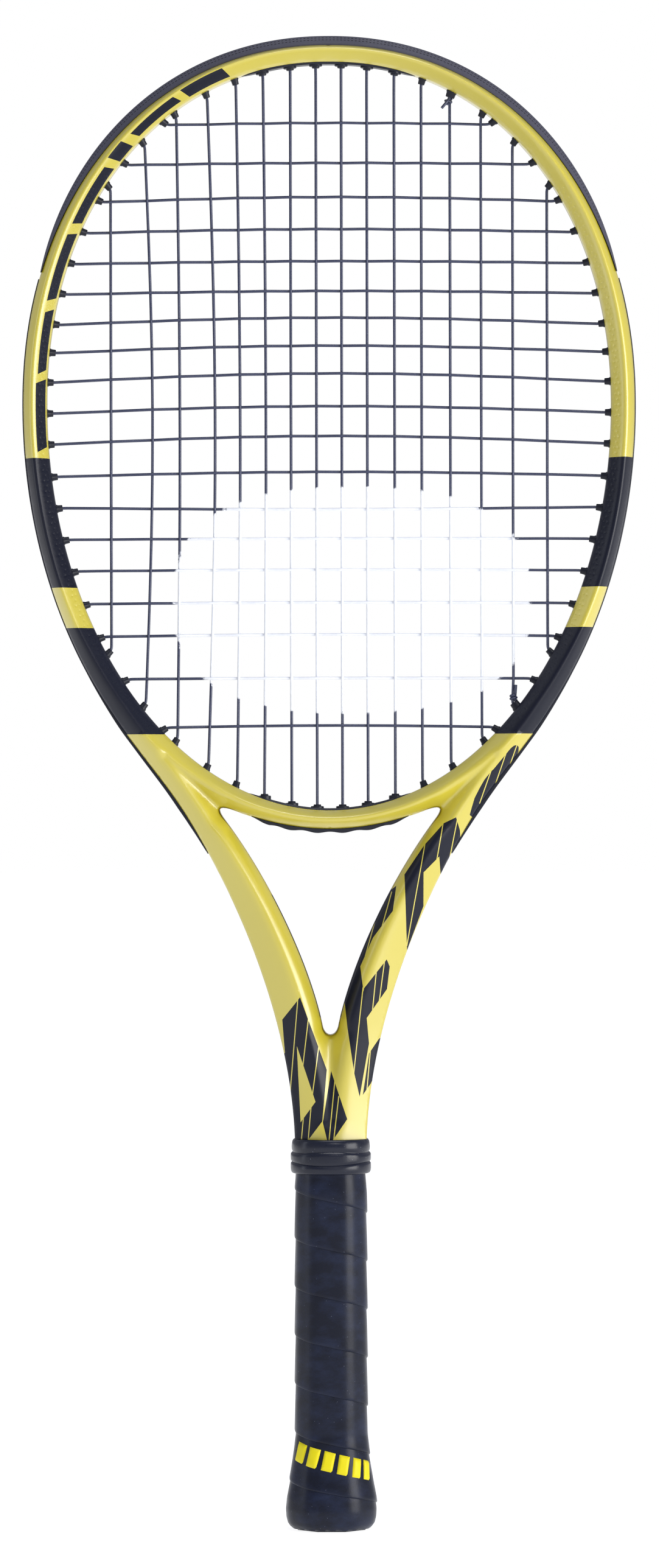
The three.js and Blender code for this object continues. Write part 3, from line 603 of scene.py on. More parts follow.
def foam_material():
    shader = Shader("pallet_foam", Roughness=0.9)
    shader.color(shader.noise(500, 4), (190, 184, 166), (168, 160, 140))
    shader.bump(shader.noise(1100, 3), 0.0002, 0.8)
    return shader.material


def steel_material():
    shader = Shader("staple_steel", Metallic=1.0)
    shader.color(shader.noise(300, 3), (186, 190, 196), (150, 154, 160))
    shader.gloss(shader.noise(500, 3, 0.5, (1, 12, 1)), 0.25, 0.45)
    return shader.material


YELLOW = paint("frame_yellow", (203, 189, 50), (197, 182, 44), 0.32, 1.0, 0.85)
BLACK = paint("frame_black", (12, 17, 36), (9, 13, 29), 0.32, 0.0, 0.32)
BUMPER = moulded("bumper_plastic", (80, 80, 93), (70, 70, 82), 0.5)
# Near-black painted shade for the bumper's shallow pressed-in dashes, standing in for the dark inside of the
# perforations.
PERFORATION_SHADE = moulded("bumper_perforation_shade", (26, 27, 33), (20, 21, 26), 0.7)
GROMMET = moulded("grommet_plastic", (31, 34, 46), (23, 25, 35), 0.34)
STRING = string_material()
GRIP = grip_material()
RAISED = moulded("grip_raised_yellow", (232, 220, 24), (222, 206, 20), 0.42, 900)
RUBBER = collar_material()
CAP = moulded("cap_plastic", (38, 40, 48), (28, 30, 37), 0.5, 800, 0.0001)
TAPE = moulded("tape_film", (24, 25, 30), (18, 19, 23), 0.35)
FOAM = foam_material()
STEEL = steel_material()


# ---- frame: height from the middle plane

def distance_to(points, line):
    """How far each point is from a polyline."""
    nearest = np.full(len(points), np.inf)
    for start, end in zip(line[:-1], line[1:]):
        span = end - start
        gap = points - start
        part = np.clip((gap @ span) / (span @ span), 0, 1)
        gap = gap - part[:, None] * span
        nearest = np.minimum(nearest, gap[:, 0] ** 2 + gap[:, 1] ** 2)
    return np.sqrt(nearest)


EDGE_LINE = EDGE.line(1.6)
WALL_LINE = WALL.line(1.6)
THROAT_LINE = THROAT.line(0.9)


def edge_distances(points):
    """Distances from the outer edge, the hoop's inner wall and the throat's edge."""
    folded = np.column_stack([np.abs(points[:, 0]), points[:, 1]])
    return [distance_to(folded, line) for line in (EDGE_LINE, WALL_LINE, THROAT_LINE)]


def crease_facet(points, crease, rise):
    """The height of the two slopes that rise from a crease."""
    start, end, low, high, rounding = crease
    start, end = np.array(start), np.array(end)
    folded = np.column_stack([np.abs(points[:, 0]), points[:, 1]])
    span = end - start
    part = np.clip(((folded - start) @ span) / (span @ span), 0, 1)
    aside = np.linalg.norm(folded - start - part[:, None] * span, axis=1)
    rounded = np.hypot(aside, rounding) - rounding
    eased = part * part * (3 - 2 * part)
    return low + (high - low) * eased + rounded * rise / THROAT_RIDGE


def ridge_distances(points, outer, wall):
    """How far the ridge is from the outer edge and from the inner wall, at each point's height."""
    height = points[:, 1]
    width = outer + wall
    on_hoop = height > HOOP_RIDGE["height"][0]
    hoop_part = np.interp(height, HOOP_RIDGE["height"], HOOP_RIDGE["part"])
    arm = np.interp(height, ARM_RIDGE["height"], ARM_RIDGE["distance"])
    bridge = np.interp(height, BRIDGE_RIDGE["height"], BRIDGE_RIDGE["distance"])
    return np.where(on_hoop, hoop_part * width, arm), np.where(on_hoop, (1 - hoop_part) * width, bridge)


def half_depth(points, distances):
    """The frame's surface, measured from its middle plane."""
    outer, wall, throat = distances
    outer_ridge, wall_ridge = ridge_distances(points, outer, wall)
    opposite = outer + 2 * np.abs(points[:, 0])
    softness = np.interp(points[:, 1], RIDGE_SOFTNESS["height"], RIDGE_SOFTNESS["size"])
    rise = RIDGE_DEPTH - EDGE_DEPTH + softness * math.log(2)
    facets = [
        EDGE_DEPTH + rise * outer / outer_ridge,
        EDGE_DEPTH + rise * wall / wall_ridge,
        EDGE_DEPTH + rise * throat / THROAT_RIDGE,
        EDGE_DEPTH + rise * opposite / outer_ridge,
        crease_facet(points, CORNER_CREASE, rise),
        crease_facet(points, FOOT_CREASE, rise),
        EDGE_DEPTH + rise + softness,
    ]
    blended = -softness * np.log(sum(np.exp(-facet / softness) for facet in facets))
    nearest = np.minimum(np.minimum(outer, wall), throat)
    inside = np.clip(1 - nearest / EDGE_ROUNDING, 0, 1)
    rounding = EDGE_ROUNDING * (1 - np.sqrt(1 - inside ** 2))
    return blended - rounding


# ---- frame: graphics

def slanted_bar(start, end, near, far, lean):
    """A bar on the hoop's inner facet, from one place along the wall to another."""
    outline = []
    for distance, depth in ([(s, near) for s in np.linspace(start, end, 9)]
                            + [(s, far) for s in np.linspace(end + lean, start + lean, 9)]):
        place = np.array([distance])
        along = WALL.direction(place)[0]
        outline.append(WALL.at(place)[0] + depth * np.array((-along[1], along[0])))
    return np.array(outline)


def pinstripe(start, end):
    start, end = np.array(start, dtype=float), np.array(end, dtype=float)
    along = (end - start) / np.linalg.norm(end - start)
    aside = np.array((-along[1], along[0])) * PINSTRIPE_WIDTH / 2
    return np.array([start - aside, end - aside, end + aside, start + aside])


# Black painted shade on the throat's side walls, and black bands of paint round the hoop, as heights.
THROAT_WALL_SHADE = (226, 281)
BANDS = ((416.5, 473.7), (351.7, 398.7))
# Black shards on the right arm and the shaft; points past the edge are cut off by it.
SHARDS = (
    ((78.8, 344.0), (79.9, 345.3), (81.2, 346.3), (82.6, 346.7), (83.4, 345.8), (83.4, 343.7), (82.9, 342.6),
     (88, 336), (66, 312), (61.7, 315.8), (62.6, 319.1), (63.8, 323.2), (66, 327.6), (68.2, 331.4),
     (70.9, 334.8), (72.3, 336.1)),
    ((50.2, 312.2), (55.6, 314.8), (57.4, 309), (58, 300), (52, 294), (48.8, 289.5), (48.2, 297.5),
     (41.2, 290.5), (41.2, 275.5), (33.9, 256), (32.8, 289.6), (41.6, 302.6)),
    ((29.2, 284.6), (27.6, 273.6), (18.8, 261.6), (13.2, 249), (14.6, 238), (10.2, 203.4), (7.4, 222.5),
     (6.0, 236), (9.5, 256), (22, 279)),
    ((14.8, 239.5), (24.9, 252.2), (26.2, 249), (25, 239), (16, 226.3), (17, 215),
     (12.8, 191.4), (10.1, 203.4)),
    ((21.4, 217), (17, 210.6), (14.2, 192.2), (17.6, 197), (22, 205), (26, 219)),
    ((-13.4, 235.6), (-1.7, 203.4), (-3.7, 180.8), (-10.0, 172.4), (-12, 166), (-24, 166),
     (-24, 203), (-20.2, 211), (-20.9, 220), (-21.3, 225.6)),
    ((0.2, 202.9), (7.3, 181.7), (0.9, 172.4), (-1, 170), (-3.5, 180.2)),
)
WEDGES = (((-14.9, 214), (-6.7, 189.4), (-13.3, 180.2)),)
PINSTRIPE_WIDTH = 0.42
PINSTRIPES = (
    ((82.8, 347.2), (79.6, 337.8)), ((77.9, 343.5), (73.1, 329.2)), ((71.1, 335.3), (66.1, 320.8)),
    ((50.2, 314), (46.4, 292)), ((56.6, 316), (51.2, 288)), ((42.2, 305), (33.8, 258)),
    ((27.2, 282), (21.5, 262)), ((21.8, 276), (14.4, 250)), ((14.4, 240), (10.0, 200)),
    ((20.4, 248), (18.4, 228)), ((24.0, 252), (21.6, 234)), ((17.6, 212), (16.0, 194)),
    ((-14.2, 237), (-18.2, 190)), ((-9.4, 229), (-12.4, 204)), ((-4.9, 216), (-8.4, 190)),
    ((-8.6, 188), (-10.2, 170)), ((-12.0, 183), (-13.2, 170)), ((1.9, 199), (-1.0, 170)),
    ((3.6, 192), (1.0, 170)),
)
# Black bars on the upper left of the hoop: start and end along the inner wall, nearest and furthest depth.
HOOP_BARS = (
    (44, 64, 0.8, 5.0), (68, 92, 1.2, 4.4), (97, 106, 0.3, 5.2), (110, 138, 0.4, 4.0),
    (143, 173, 0.4, 4.0), (178, 205, 0.4, 3.8), (209, 239, 0.3, 4.4),
)
BAR_LEAN = 2.2
DIMPLE_ROWS = ((1.5, 0.5, 0.0), (2.3, 0.36, 0.5), (3.05, 0.3, 0.0))
DIMPLE_PITCH = 4.7
DIMPLE_DEPTH = 0.13
DIMPLE_HEIGHTS = (352.0, 592.0)


def graphics():
    """(polygon, is black) in painting order; a later one covers an earlier one."""
    reach = OUTER["half_width"] + 10
    painted = [(np.array([(-reach, low), (reach, low), (reach, high), (-reach, high)]), True)
               for low, high in BANDS]
    painted += [(np.array(shard, dtype=float), True) for shard in SHARDS]
    painted += [(np.array(wedge, dtype=float), False) for wedge in WEDGES]
    painted += [(pinstripe(*line), False) for line in PINSTRIPES]
    painted += [(slanted_bar(*bar, BAR_LEAN) * (-1, 1), True) for bar in HOOP_BARS]
    return painted


def is_inside(points, polygon):
    """Which points lie inside a polygon."""
    x, z = points[:, 0], points[:, 1]
    inside = np.zeros(len(points), dtype=bool)
    for (x0, z0), (x1, z1) in zip(polygon, np.roll(polygon, -1, axis=0)):
        if z0 == z1:
            continue
        crosses = (z0 > z) != (z1 > z)
        inside ^= crosses & (x < (x1 - x0) * (z - z0) / (z1 - z0) + x0)
    return inside


OUTLINE_STEPS = ((EDGE, 1.7), (WALL, 1.7), (THROAT, 1.1))


def closed_loops():
    """The outer outline, the hoop's opening and the throat, as whole loops."""
    loops = []
    for track, step in OUTLINE_STEPS:
        half = track.line(step)
        whole = half if track is EDGE else half[:-1]
        loops.append(np.vstack([whole, half[:0:-1] * FLIP]))
    return loops


# ---- frame: mesh

LATTICE = 0.95
ROW_DEPTHS = (0.12, 0.3, 0.55, 0.85)
NEAR_EDGE = 1.25
PAINT_STEP = 1.0
# Least distances between the mesh's kinds of points.
GAPS = {"dent_to_line": 0.12, "ridge_to_row": 0.4, "fill_to_ridge": 0.6,
        "free_to_line": 0.34, "free_to_dent": 0.75}


def dimple_places():
    """Centres and sizes of the dents on the hoop's inner facets."""
    places = []
    for depth, size, phase in DIMPLE_ROWS:
        distances = np.arange(DIMPLE_PITCH * (1 + phase), WALL.length, DIMPLE_PITCH)
        points = WALL.at(distances)
        along = WALL.direction(distances)
        centres = points + depth * np.column_stack([-along[:, 1], along[:, 0]])
        low, high = DIMPLE_HEIGHTS
        for centre in centres[(points[:, 1] > low) & (points[:, 1] < high)]:
            places += [(centre, size), (centre * (-1, 1), size)]
    return places


def inner_rows():
    """Rows of points just inside each edge, for its rounding."""
    rows = []
    for track, step in OUTLINE_STEPS:
        distances = track.spaced(step)[1:-1]
        along = track.direction(distances)
        into = (1 if track is EDGE else -1) * np.column_stack([along[:, 1], -along[:, 0]])
        for depth in ROW_DEPTHS:
            rows.append(track.at(distances) + depth * into)
    return np.vstack(rows)


RIDGE_ROWS = (-1.35, -0.9, -0.45, 0.0, 0.45, 0.9, 1.35)
RIDGE_STEP = 0.9
RIDGE_SEARCH = (0.3, 16.0)        # the ridge lies this far from an edge, at least and at most
RIDGE_FOOT = 222.0                # below this height the ridge is the crease at the middle
CREASE_ROWS = (0.0, 0.5, 1.0, 1.5)


def ridge_points():
    """Rows of points along each ridge of the right half, so that the mesh follows it."""
    rows = []
    for track, is_wall in ((EDGE, False), (WALL, True)):
        distances = np.arange(RIDGE_STEP, track.length, RIDGE_STEP)
        start, along = track.at(distances), track.direction(distances)
        into = np.column_stack([along[:, 1], -along[:, 0]]) * (-1 if is_wall else 1)
        low, high = (np.full(len(start), limit) for limit in RIDGE_SEARCH)
        for _ in range(14):
            middle = (low + high) / 2
            points = start + into * middle[:, None]
            outer, wall, throat = edge_distances(points)
            outer_ridge, wall_ridge = ridge_distances(points, outer, wall)
            parts = np.column_stack([outer / outer_ridge, wall / wall_ridge, throat / THROAT_RIDGE])
            own, others = (1, (0, 2)) if is_wall else (0, (1, 2))
            is_past = parts[:, own] > parts[:, others].min(axis=1)
            low, high = np.where(is_past, low, middle), np.where(is_past, middle, high)
        keep = parts[:, 2] < parts[:, 0] if is_wall else (points[:, 1] > RIDGE_FOOT) & (low < 15)
        for row in RIDGE_ROWS:
            rows.append((start + into * (low + row)[:, None])[keep])
    heights = np.arange(SHAFT_FOOT + RIDGE_STEP, THROAT.points[-1, 1] - 1, RIDGE_STEP)
    for x in CREASE_ROWS:
        rows.append(np.column_stack([np.full(len(heights), x), heights]))
    return np.vstack(rows)


def lattice():
    """A triangular lattice over the right half of the frame."""
    low, high = SHAFT_FOOT, HEAD_CENTRE + OUTER["up"]
    rise = LATTICE * math.sqrt(3) / 2
    rows = []
    for index, z in enumerate(np.arange(low + rise, high, rise)):
        start = LATTICE / 2 if index % 2 else LATTICE
        rows.append(np.array([(x, z) for x in np.arange(start, OUTER["half_width"], LATTICE)]))
    return np.vstack(rows)


def in_material(points, loops):
    outline, opening, throat = loops
    return is_inside(points, outline) & ~is_inside(points, opening) & ~is_inside(points, throat)


def away_from(points, others, gap):
    """Which points keep a gap from every one of the others."""
    cells = {}
    for other in others:
        cells.setdefault((int(other[0] // gap), int(other[1] // gap)), []).append(other)
    keep = np.ones(len(points), dtype=bool)
    for index, (x, z) in enumerate(points):
        column, row = int(x // gap), int(z // gap)
        near = (cells.get((column + i, row + j), ()) for i in (-1, 0, 1) for j in (-1, 0, 1))
        keep[index] = all((x - a) ** 2 + (z - b) ** 2 > gap * gap for group in near for a, b in group)
    return keep


def divided(polygon, step):
    """A polygon with points added along its sides."""
    points = []
    for start, end in zip(polygon, np.roll(polygon, -1, axis=0)):
        count = max(1, math.ceil(np.linalg.norm(end - start) / step))
        points.extend(start + (end - start) * index / count for index in range(count))
    return np.array(points)


def flat_frame():
    """The frame's front, triangulated flat: its points, its triangles, and the dents in it."""
    loops = closed_loops()
    fixed, edges = [], []

    def add_loop(points):
        start = sum(len(part) for part in fixed)
        count = len(points)
        fixed.append(points)
        edges.extend((start + index, start + (index + 1) % count) for index in range(count))

    for loop in loops:
        add_loop(loop)
    for polygon, _ in graphics():
        for shape in (polygon, polygon * FLIP):
            add_loop(divided(shape, PAINT_STEP))
    lines = np.vstack(fixed)

    dents = dimple_places()
    ring = 2 * np.pi * np.arange(8) / 8
    around = np.column_stack([np.cos(ring), np.sin(ring)])
    dent_points = np.vstack([centre + around_it * size for centre, size in dents
                             for around_it in (np.zeros((1, 2)), around * 0.55, around)])
    dent_points = dent_points[away_from(dent_points, lines, GAPS["dent_to_line"])]

    fill = lattice()
    fill = fill[in_material(fill, loops)]
    fill = fill[np.minimum.reduce(edge_distances(fill)) > NEAR_EDGE]
    rows = inner_rows()
    rows = rows[in_material(rows, loops)]
    ridges = ridge_points()
    ridges = ridges[in_material(ridges, loops)]
    ridges = ridges[away_from(ridges, rows, GAPS["ridge_to_row"])]
    fill = fill[away_from(fill, ridges, GAPS["fill_to_ridge"])]
    free = np.vstack([fill, rows, ridges])
    free = np.vstack([free, free[free[:, 0] > 1e-6] * FLIP])
    free = free[away_from(free, lines, GAPS["free_to_line"])]
    centres = np.array([centre for centre, _ in dents])
    free = free[away_from(free, centres, GAPS["free_to_dent"])]

    coordinates = [Vector(point) for point in np.vstack([lines, dent_points, free])]
    result = delaunay_2d_cdt(coordinates, edges, [], 0, 1e-5)
    points = np.array([tuple(vertex) for vertex in result[0]])
    triangles = np.array([face for face in result[2] if len(face) == 3])
    middles = points[triangles].mean(axis=1)
    used, places = np.unique(triangles[in_material(middles, loops)], return_inverse=True)
    return points[used], places.reshape(-1, 3), dents


def dented(points, dents):
    """How far each point is pressed in by the dimples."""
    pressed = np.zeros(len(points))
    for centre, size in dents:
        gap = np.hypot(points[:, 0] - centre[0], points[:, 1] - centre[1])
        close = gap < size
        pressed[close] = DIMPLE_DEPTH * (1 - (gap[close] / size) ** 2)
    return pressed


def boundary_edges(triangles):
    """Directed edges that belong to one triangle only, each with that triangle."""
    owner = {}
    for index, (a, b, c) in enumerate(triangles):
        for edge in ((a, b), (b, c), (c, a)):
            owner[edge] = index
    return {edge: index for edge, index in owner.items() if edge[::-1] not in owner}


def wall_rows(point, nearest):
    """Steps across a side wall, from front to back: (y, distance pushed out)."""
    x, z = abs(point[0]), point[1]
    on_edge = nearest == 0 and z > GROOVE["bottom"]
    on_bridge = nearest == 2 and x < BRIDGE_GROOVE_REACH and z > BRIDGE_UNDERSIDE - 1
    half, floor = GROOVE["half_width"], -GROOVE["floor"]
    if on_edge or on_bridge:
        return [(-half, 0.0), (-half + 0.05, floor), (half - 0.05, floor), (half, 0.0)]
    bulge = 0.0 if nearest == 0 else 0.25
    return [(-half, bulge * 0.3), (-half * 0.4, bulge), (half * 0.4, bulge), (half, bulge * 0.3)]


def racket_frame():
    """The frame's front and back, raised from the flat triangles, and the walls between them."""
    points, triangles, dents = flat_frame()
    distances = edge_distances(points)
    heights = half_depth(points, distances) - dented(points, dents)
    count = len(points)
    front = np.column_stack([points[:, 0], -heights, points[:, 1]])
    back = np.column_stack([points[:, 0], heights, points[:, 1]])

    middles = points[triangles].mean(axis=1)
    paint_front, paint_back = np.zeros((2, len(triangles)), dtype=int)
    for polygon, is_black in graphics():
        paint_front[is_inside(middles, polygon)] = is_black
        paint_back[is_inside(middles, polygon * FLIP)] = is_black

    faces = [tuple(triangle) for triangle in triangles]
    faces += [tuple(count + corner for corner in triangle[::-1]) for triangle in triangles]
    colours = list(paint_front) + list(paint_back)

    edges = boundary_edges(triangles)
    nearest = np.argmin(np.column_stack(distances), axis=1)
    out = {}
    for a, b in edges:
        along = points[b] - points[a]
        normal = np.array((along[1], -along[0])) / (np.linalg.norm(along) + 1e-12)
        for corner in (a, b):
            out[corner] = out.get(corner, 0) + normal
    first = {}
    extra = []
    for corner, normal in out.items():
        normal = normal / np.linalg.norm(normal)
        first[corner] = 2 * count + len(extra)
        for y, push in wall_rows(points[corner], nearest[corner]):
            x, z = points[corner] + push * normal
            extra.append((x, y, z))
    for (a, b), triangle in edges.items():
        mine = [a] + [first[a] + row for row in range(4)] + [count + a]
        next_ones = [b] + [first[b] + row for row in range(4)] + [count + b]
        colour = paint_front[triangle]
        height = (points[a, 1] + points[b, 1]) / 2
        # The throat's side walls between these heights take the black as painted shade.
        if nearest[a] == 2 and THROAT_WALL_SHADE[0] < height < THROAT_WALL_SHADE[1]:
            colour = 1
        for row in range(5):
            faces.append((mine[row], mine[row + 1], next_ones[row + 1], next_ones[row]))
            colours.append(colour)
    solid = Solid()
    solid.add(np.vstack([front, back, np.array(extra)]), faces, colours)
    for side in (-1, 1):
        solid.add(*tube_end(side))
    attach(solid.finish("racket_frame", [YELLOW, BLACK], 40), RACKET, "frame")


def tube_end(side):
    """One of the frame tube's two ends, inside the handle."""
    near, far, half = side * TUBE_END["near"], side * TUBE_END["far"], TUBE_END["half_depth"]
    outline = ((near, -half), (far, -half), (far, half), (near, half))
    corners = [(x, y, z) for z in TUBE_END["height"] for x, y in outline]
    return corners, [(3, 2, 1, 0), (4, 5, 6, 7), (0, 1, 5, 4), (1, 2, 6, 5), (2, 3, 7, 6), (3, 0, 4, 7)]


# ---- grommets and bumper

# Radius and distance from the wall, inwards being negative.
BARREL = ((0.78, -2.9), (1.3, -2.9), (1.45, -2.7), (1.6, -0.9),
          (1.85, -0.6), (1.9, 0.0), (1.9, 1.5), (0.78, 1.5))
WIDE_BARREL = ((0.78, -2.6), (1.5, -2.6), (1.65, -2.4), (1.75, -1.9), (2.7, -1.8), (2.9, -1.6),
               (2.9, 0.2), (1.9, 0.6), (0.78, 0.6))
TIE_BARREL = tuple((radius + 0.55, reach) for radius, reach in BARREL)
BARREL_SIDES = 20
STRIP_STEP = 3.0
PAD = {"near": 0.25, "far": 1.1, "half_width": 3.6, "reach": 36.0}


def add_barrel(solid, hole, profile):
    solid.add(*lathe(profile, BARREL_SIDES, hole["wall"], hole["lean"]))


def add_pad(solid, middle):
    """The thin pad against the inner wall round the middle six mains."""
    span = math.asin(PAD["reach"] / INNER["half_width"])
    rings = []
    for part in np.linspace(-1, 1, 41):
        wall, out = wall_at(middle + span * part)
        thin = max(0.06, (1 - abs(part) ** 6)) ** 0.5
        near, far, wide = PAD["near"] * thin, PAD["far"] * thin, PAD["half_width"] * thin
        half = [(-0.2, -wide), (near, -wide), (far, -wide * 0.8)]
        section = half + [(d, -y) for d, y in reversed(half)]
        rings.append([(wall[0] - out[0] * d, y, wall[1] - out[1] * d) for d, y in section])
    solid.add(*loft(rings))


def both_halves(half):
    """A whole section from its half of (distance out, y) points, which starts and ends at y = 0."""
    return half + [(d, -y) for d, y in half[-2:0:-1]]


def edge_loft(start, end, section, step):
    """A section of (distance out, y) points carried along the outer edge."""
    count = max(2, math.ceil(abs(end - start) * EDGE.length / step))
    rings = []
    for station in np.linspace(start, end, count + 1):
        point, out = edge_frame(station)
        rings.append([(point[0] + out[0] * d, y, point[1] + out[1] * d) for d, y in section(station)])
    return loft(rings)


BUMPER_END = 556.0
BUMPER_PROUD = 4.0
SIDE_PROUD = 0.5
DASH = 0.8                        # length of a perforation dash, and of the gap after it
DASH_DEPTH = 0.25
DASH_ROWS = (7, 10)               # faces of the front half of the section that hold the dashes
DASH_REACH = 0.86                 # part of the bumper's length that has them


def bumper_proud(station, end):
    return SIDE_PROUD + (BUMPER_PROUD - SIDE_PROUD) * (1 - (abs(station) / end) ** 4)


def bumper_half(p):
    """Half of the bumper's section, from the middle of the string channel round to the groove."""
    full = p / BUMPER_PROUD
    return [(-1.7, 0.0), (-1.7, 2.6), (min(0.0, p - 0.5), 2.75), (p - 0.25, 2.95), (p, 3.5), (p - 0.05, 4.2),
            (p - 0.35 * full, 4.7), (p - 0.85 * full, 5.05), (p - 1.1 * full, 5.2), (p - 1.35 * full, 5.35),
            (p - 1.85 * full, 5.6), (p - 2.1 * full, 5.72), (p - 2.35 * full, 5.85),
            (0.33 * p, 6.25), (0.15 * p, 6.75), (0.02, 7.0), (-0.35 * full - 0.02, 6.9),
            (-0.3 * full, 4.6 + 0.9 * full), (-0.1, 4.5), (-2.6, 4.4), (-2.7, 0.0)]


def head_bumper():
    """The guard over the tip with its pressed-in dashes, coloured near-black as painted shade, and the
    barrels under it.
    """
    end = station_at(BUMPER_END)

    def section(station):
        return both_halves(bumper_half(bumper_proud(station, end)))

    solid = Solid()
    vertices, faces = edge_loft(-end, end, section, DASH)
    sides = len(section(0))
    dash_rows = {*DASH_ROWS, *(sides - 1 - row for row in DASH_ROWS)}
    rings = len(vertices) // sides
    colours = [0] * len(faces)
    # Every other ring of the dash rows takes the near-black painted shade.
    for index in range(len(faces) - 2):
        ring, row = divmod(index, sides)
        if row in dash_rows and ring % 2 and abs(2 * ring / rings - 1) < DASH_REACH:
            colours[index] = 1
    solid.add(vertices, faces, colours)
    piece = solid.finish("head_bumper_guard", [BUMPER, PERFORATION_SHADE], 40)
    press_in(piece, 1, DASH_DEPTH)
    details = Solid()
    add_pad(details, math.pi / 2)
    for main, hole in enumerate(MAIN_TOPS):
        wide = is_bridge_main(place_of(main))
        add_barrel(details, hole, WIDE_BARREL if wide else TIE_BARREL if main == FINISH_MAIN else BARREL)
    for hole in CROSS_ENDS:
        if is_under_bumper(hole):
            add_barrel(details, hole, BARREL)
    barrels = details.finish("head_bumper_barrels", [GROMMET])
    attach(piece, RACKET, "head_bumper")
    attach(barrels, RACKET, "head_bumper")


def press_in(piece, material, depth):
    """Sinks the faces of one material a little into a piece."""
    with edited(piece) as shape:
        faces = [face for face in shape.faces if face.material_index == material]
        for inset, sunk in ((0.05, 0), (0.02, depth)):
            bmesh.ops.inset_individual(shape, faces=faces, thickness=inset * MM, depth=-sunk * MM)


def is_under_bumper(hole):
    return hole["corner"][1] > BUMPER_END - 1.5


SIDE_TOP, SIDE_BOTTOM = 553.0, 299.0
SIDE_BULGE = {"height": (298, 301, 312, 320, 345, 355, 370, 380),
              "proud": (0.3, 0.6, 1.2, 1.5, 1.2, 1.1, 0.7, 0.5)}


def strip_half(p):
    return [(-1.7, 0.0), (-1.7, 2.7), (min(0.0, p - 0.4), 2.85), (p - 0.12, 3.0), (p, 3.3), (p, 3.9),
            (p - 0.15, 4.25), (min(0.0, p - 0.4), 4.4), (-2.7, 4.4), (-2.7, 0.0)]


def side_strip(side):
    """The strip in the groove on one side, with its barrels; side is -1 on the left."""
    name = "left" if side < 0 else "right"

    def section(station):
        height = edge_frame(station)[0][1]
        return both_halves(strip_half(float(np.interp(height, SIDE_BULGE["height"], SIDE_BULGE["proud"]))))

    solid = Solid()
    solid.add(*edge_loft(side * station_at(SIDE_TOP), side * station_at(SIDE_BOTTOM), section, STRIP_STEP))
    for hole in CROSS_ENDS:
        if hole["wall"][0] * side > 0 and not is_under_bumper(hole):
            add_barrel(solid, hole, BARREL)
    for main, hole in enumerate(MAIN_BOTTOMS):
        place = place_of(main)
        if hole["wall"][0] * side > 0 and not is_bridge_main(place) and not is_corner_main(place):
            add_barrel(solid, hole, TIE_BARREL if main == START_MAIN else BARREL)
    piece = solid.finish(f"side_strip_{name}", [GROMMET])
    attach(piece, RACKET, f"side_grommet_strip_{name}")


def corner_grommet(main):
    hole = MAIN_BOTTOMS[main]
    name = f"{'left' if hole['wall'][0] < 0 else 'right'}_{place_of(main) - 2}"
    solid = Solid()
    add_barrel(solid, hole, BARREL)
    piece = solid.finish(f"corner_barrel_{name}", [GROMMET])
    attach(piece, RACKET, f"corner_grommet_{name}")


THROAT_STRIP = {"back": 2.2, "front": 1.2, "reach": 34.8, "proud": 1.7, "bulge": 0.35, "pitch": 11.9}


def throat_strip():
    size = THROAT_STRIP
    rings = []
    for x in np.linspace(-size["reach"], size["reach"], 71):
        wave = math.cos(2 * math.pi * (abs(x) / size["pitch"] - 0.5))
        fade = min(1.0, (size["reach"] - abs(x)) / 9 + 0.12)
        proud = -(size["proud"] + size["bulge"] * wave) * fade
        half = [(1.2, 0.0), (1.2, 2.7), (0.2, 2.9), (proud + 0.15, 3.05), (proud, 3.4), (proud + 0.1, 4.6),
                (proud * 0.5, 5.1), (-0.1, 5.15), (0.1, 4.5), (size["back"], 4.4), (size["back"], 0.0)]
        rings.append([(x, y, bridge_point(x, d)[1]) for d, y in both_halves(half)])
    solid = Solid()
    solid.add(*loft(rings))
    add_pad(solid, -math.pi / 2)
    for main, hole in enumerate(MAIN_BOTTOMS):
        if is_bridge_main(place_of(main)):
            add_barrel(solid, hole, WIDE_BARREL)
    attach(solid.finish("throat_strip", [GROMMET]), RACKET, "throat_grommet_strip")


# ---- string

def in_plane(point, y=0.0):
    return np.array((point[0], y, point[1]))


def main_at(main, height):
    low, high = MAIN_BOTTOMS[main]["mouth"][1], MAIN_TOPS[main]["mouth"][1]
    return main_x(main) + MAIN_BOWS[main] * math.sin(math.pi * (height - low) / (high - low))


def cross_at(cross, x):
    edge = CROSS_RIGHTS[cross]["mouth"][0]
    return CROSS_HEIGHTS[cross] + CROSS_BOWS[cross] * math.cos(math.pi / 2 * x / edge)


def crossing(main, cross):
    """Where a main and a cross meet, and which side the cross passes; None if they don't."""
    x = main_at(main, CROSS_HEIGHTS[cross])
    height = cross_at(cross, x)
    meets = MAIN_BOTTOMS[main]["mouth"][1] < height < MAIN_TOPS[main]["mouth"][1]
    if not meets or abs(x) >= CROSS_RIGHTS[cross]["mouth"][0]:
        return None
    return x, height, 1 if (main + cross) % 2 else -1


def main_points(main):
    points = []
    for cross in reversed(range(CROSSES)):
        met = crossing(main, cross)
        if met:
            points.append(np.array((main_at(main, met[1]), -met[2] * MAIN_WEAVE, met[1])))
    return points


def cross_points(cross):
    met = [crossing(main, cross) for main in range(MAINS)]
    return [np.array((x, side * CROSS_WEAVE, height)) for x, height, side in filter(None, met)]


def along_groove(start, end, lane):
    """Points along the groove between two stations, in a lane or straight."""
    ramp = LANE_RAMP / EDGE.length * (1 if end > start else -1)
    if lane:
        start, end = start + ramp, end - ramp
    steps = max(1, math.ceil(abs(end - start) * EDGE.length / 4))
    marks = np.linspace(start, end, steps + 1)
    if not lane:
        marks = marks[1:-1]
    return [in_plane(edge_point(station, LOOP_OFFSET), lane) for station in marks]


SAME_STATION = 0.001


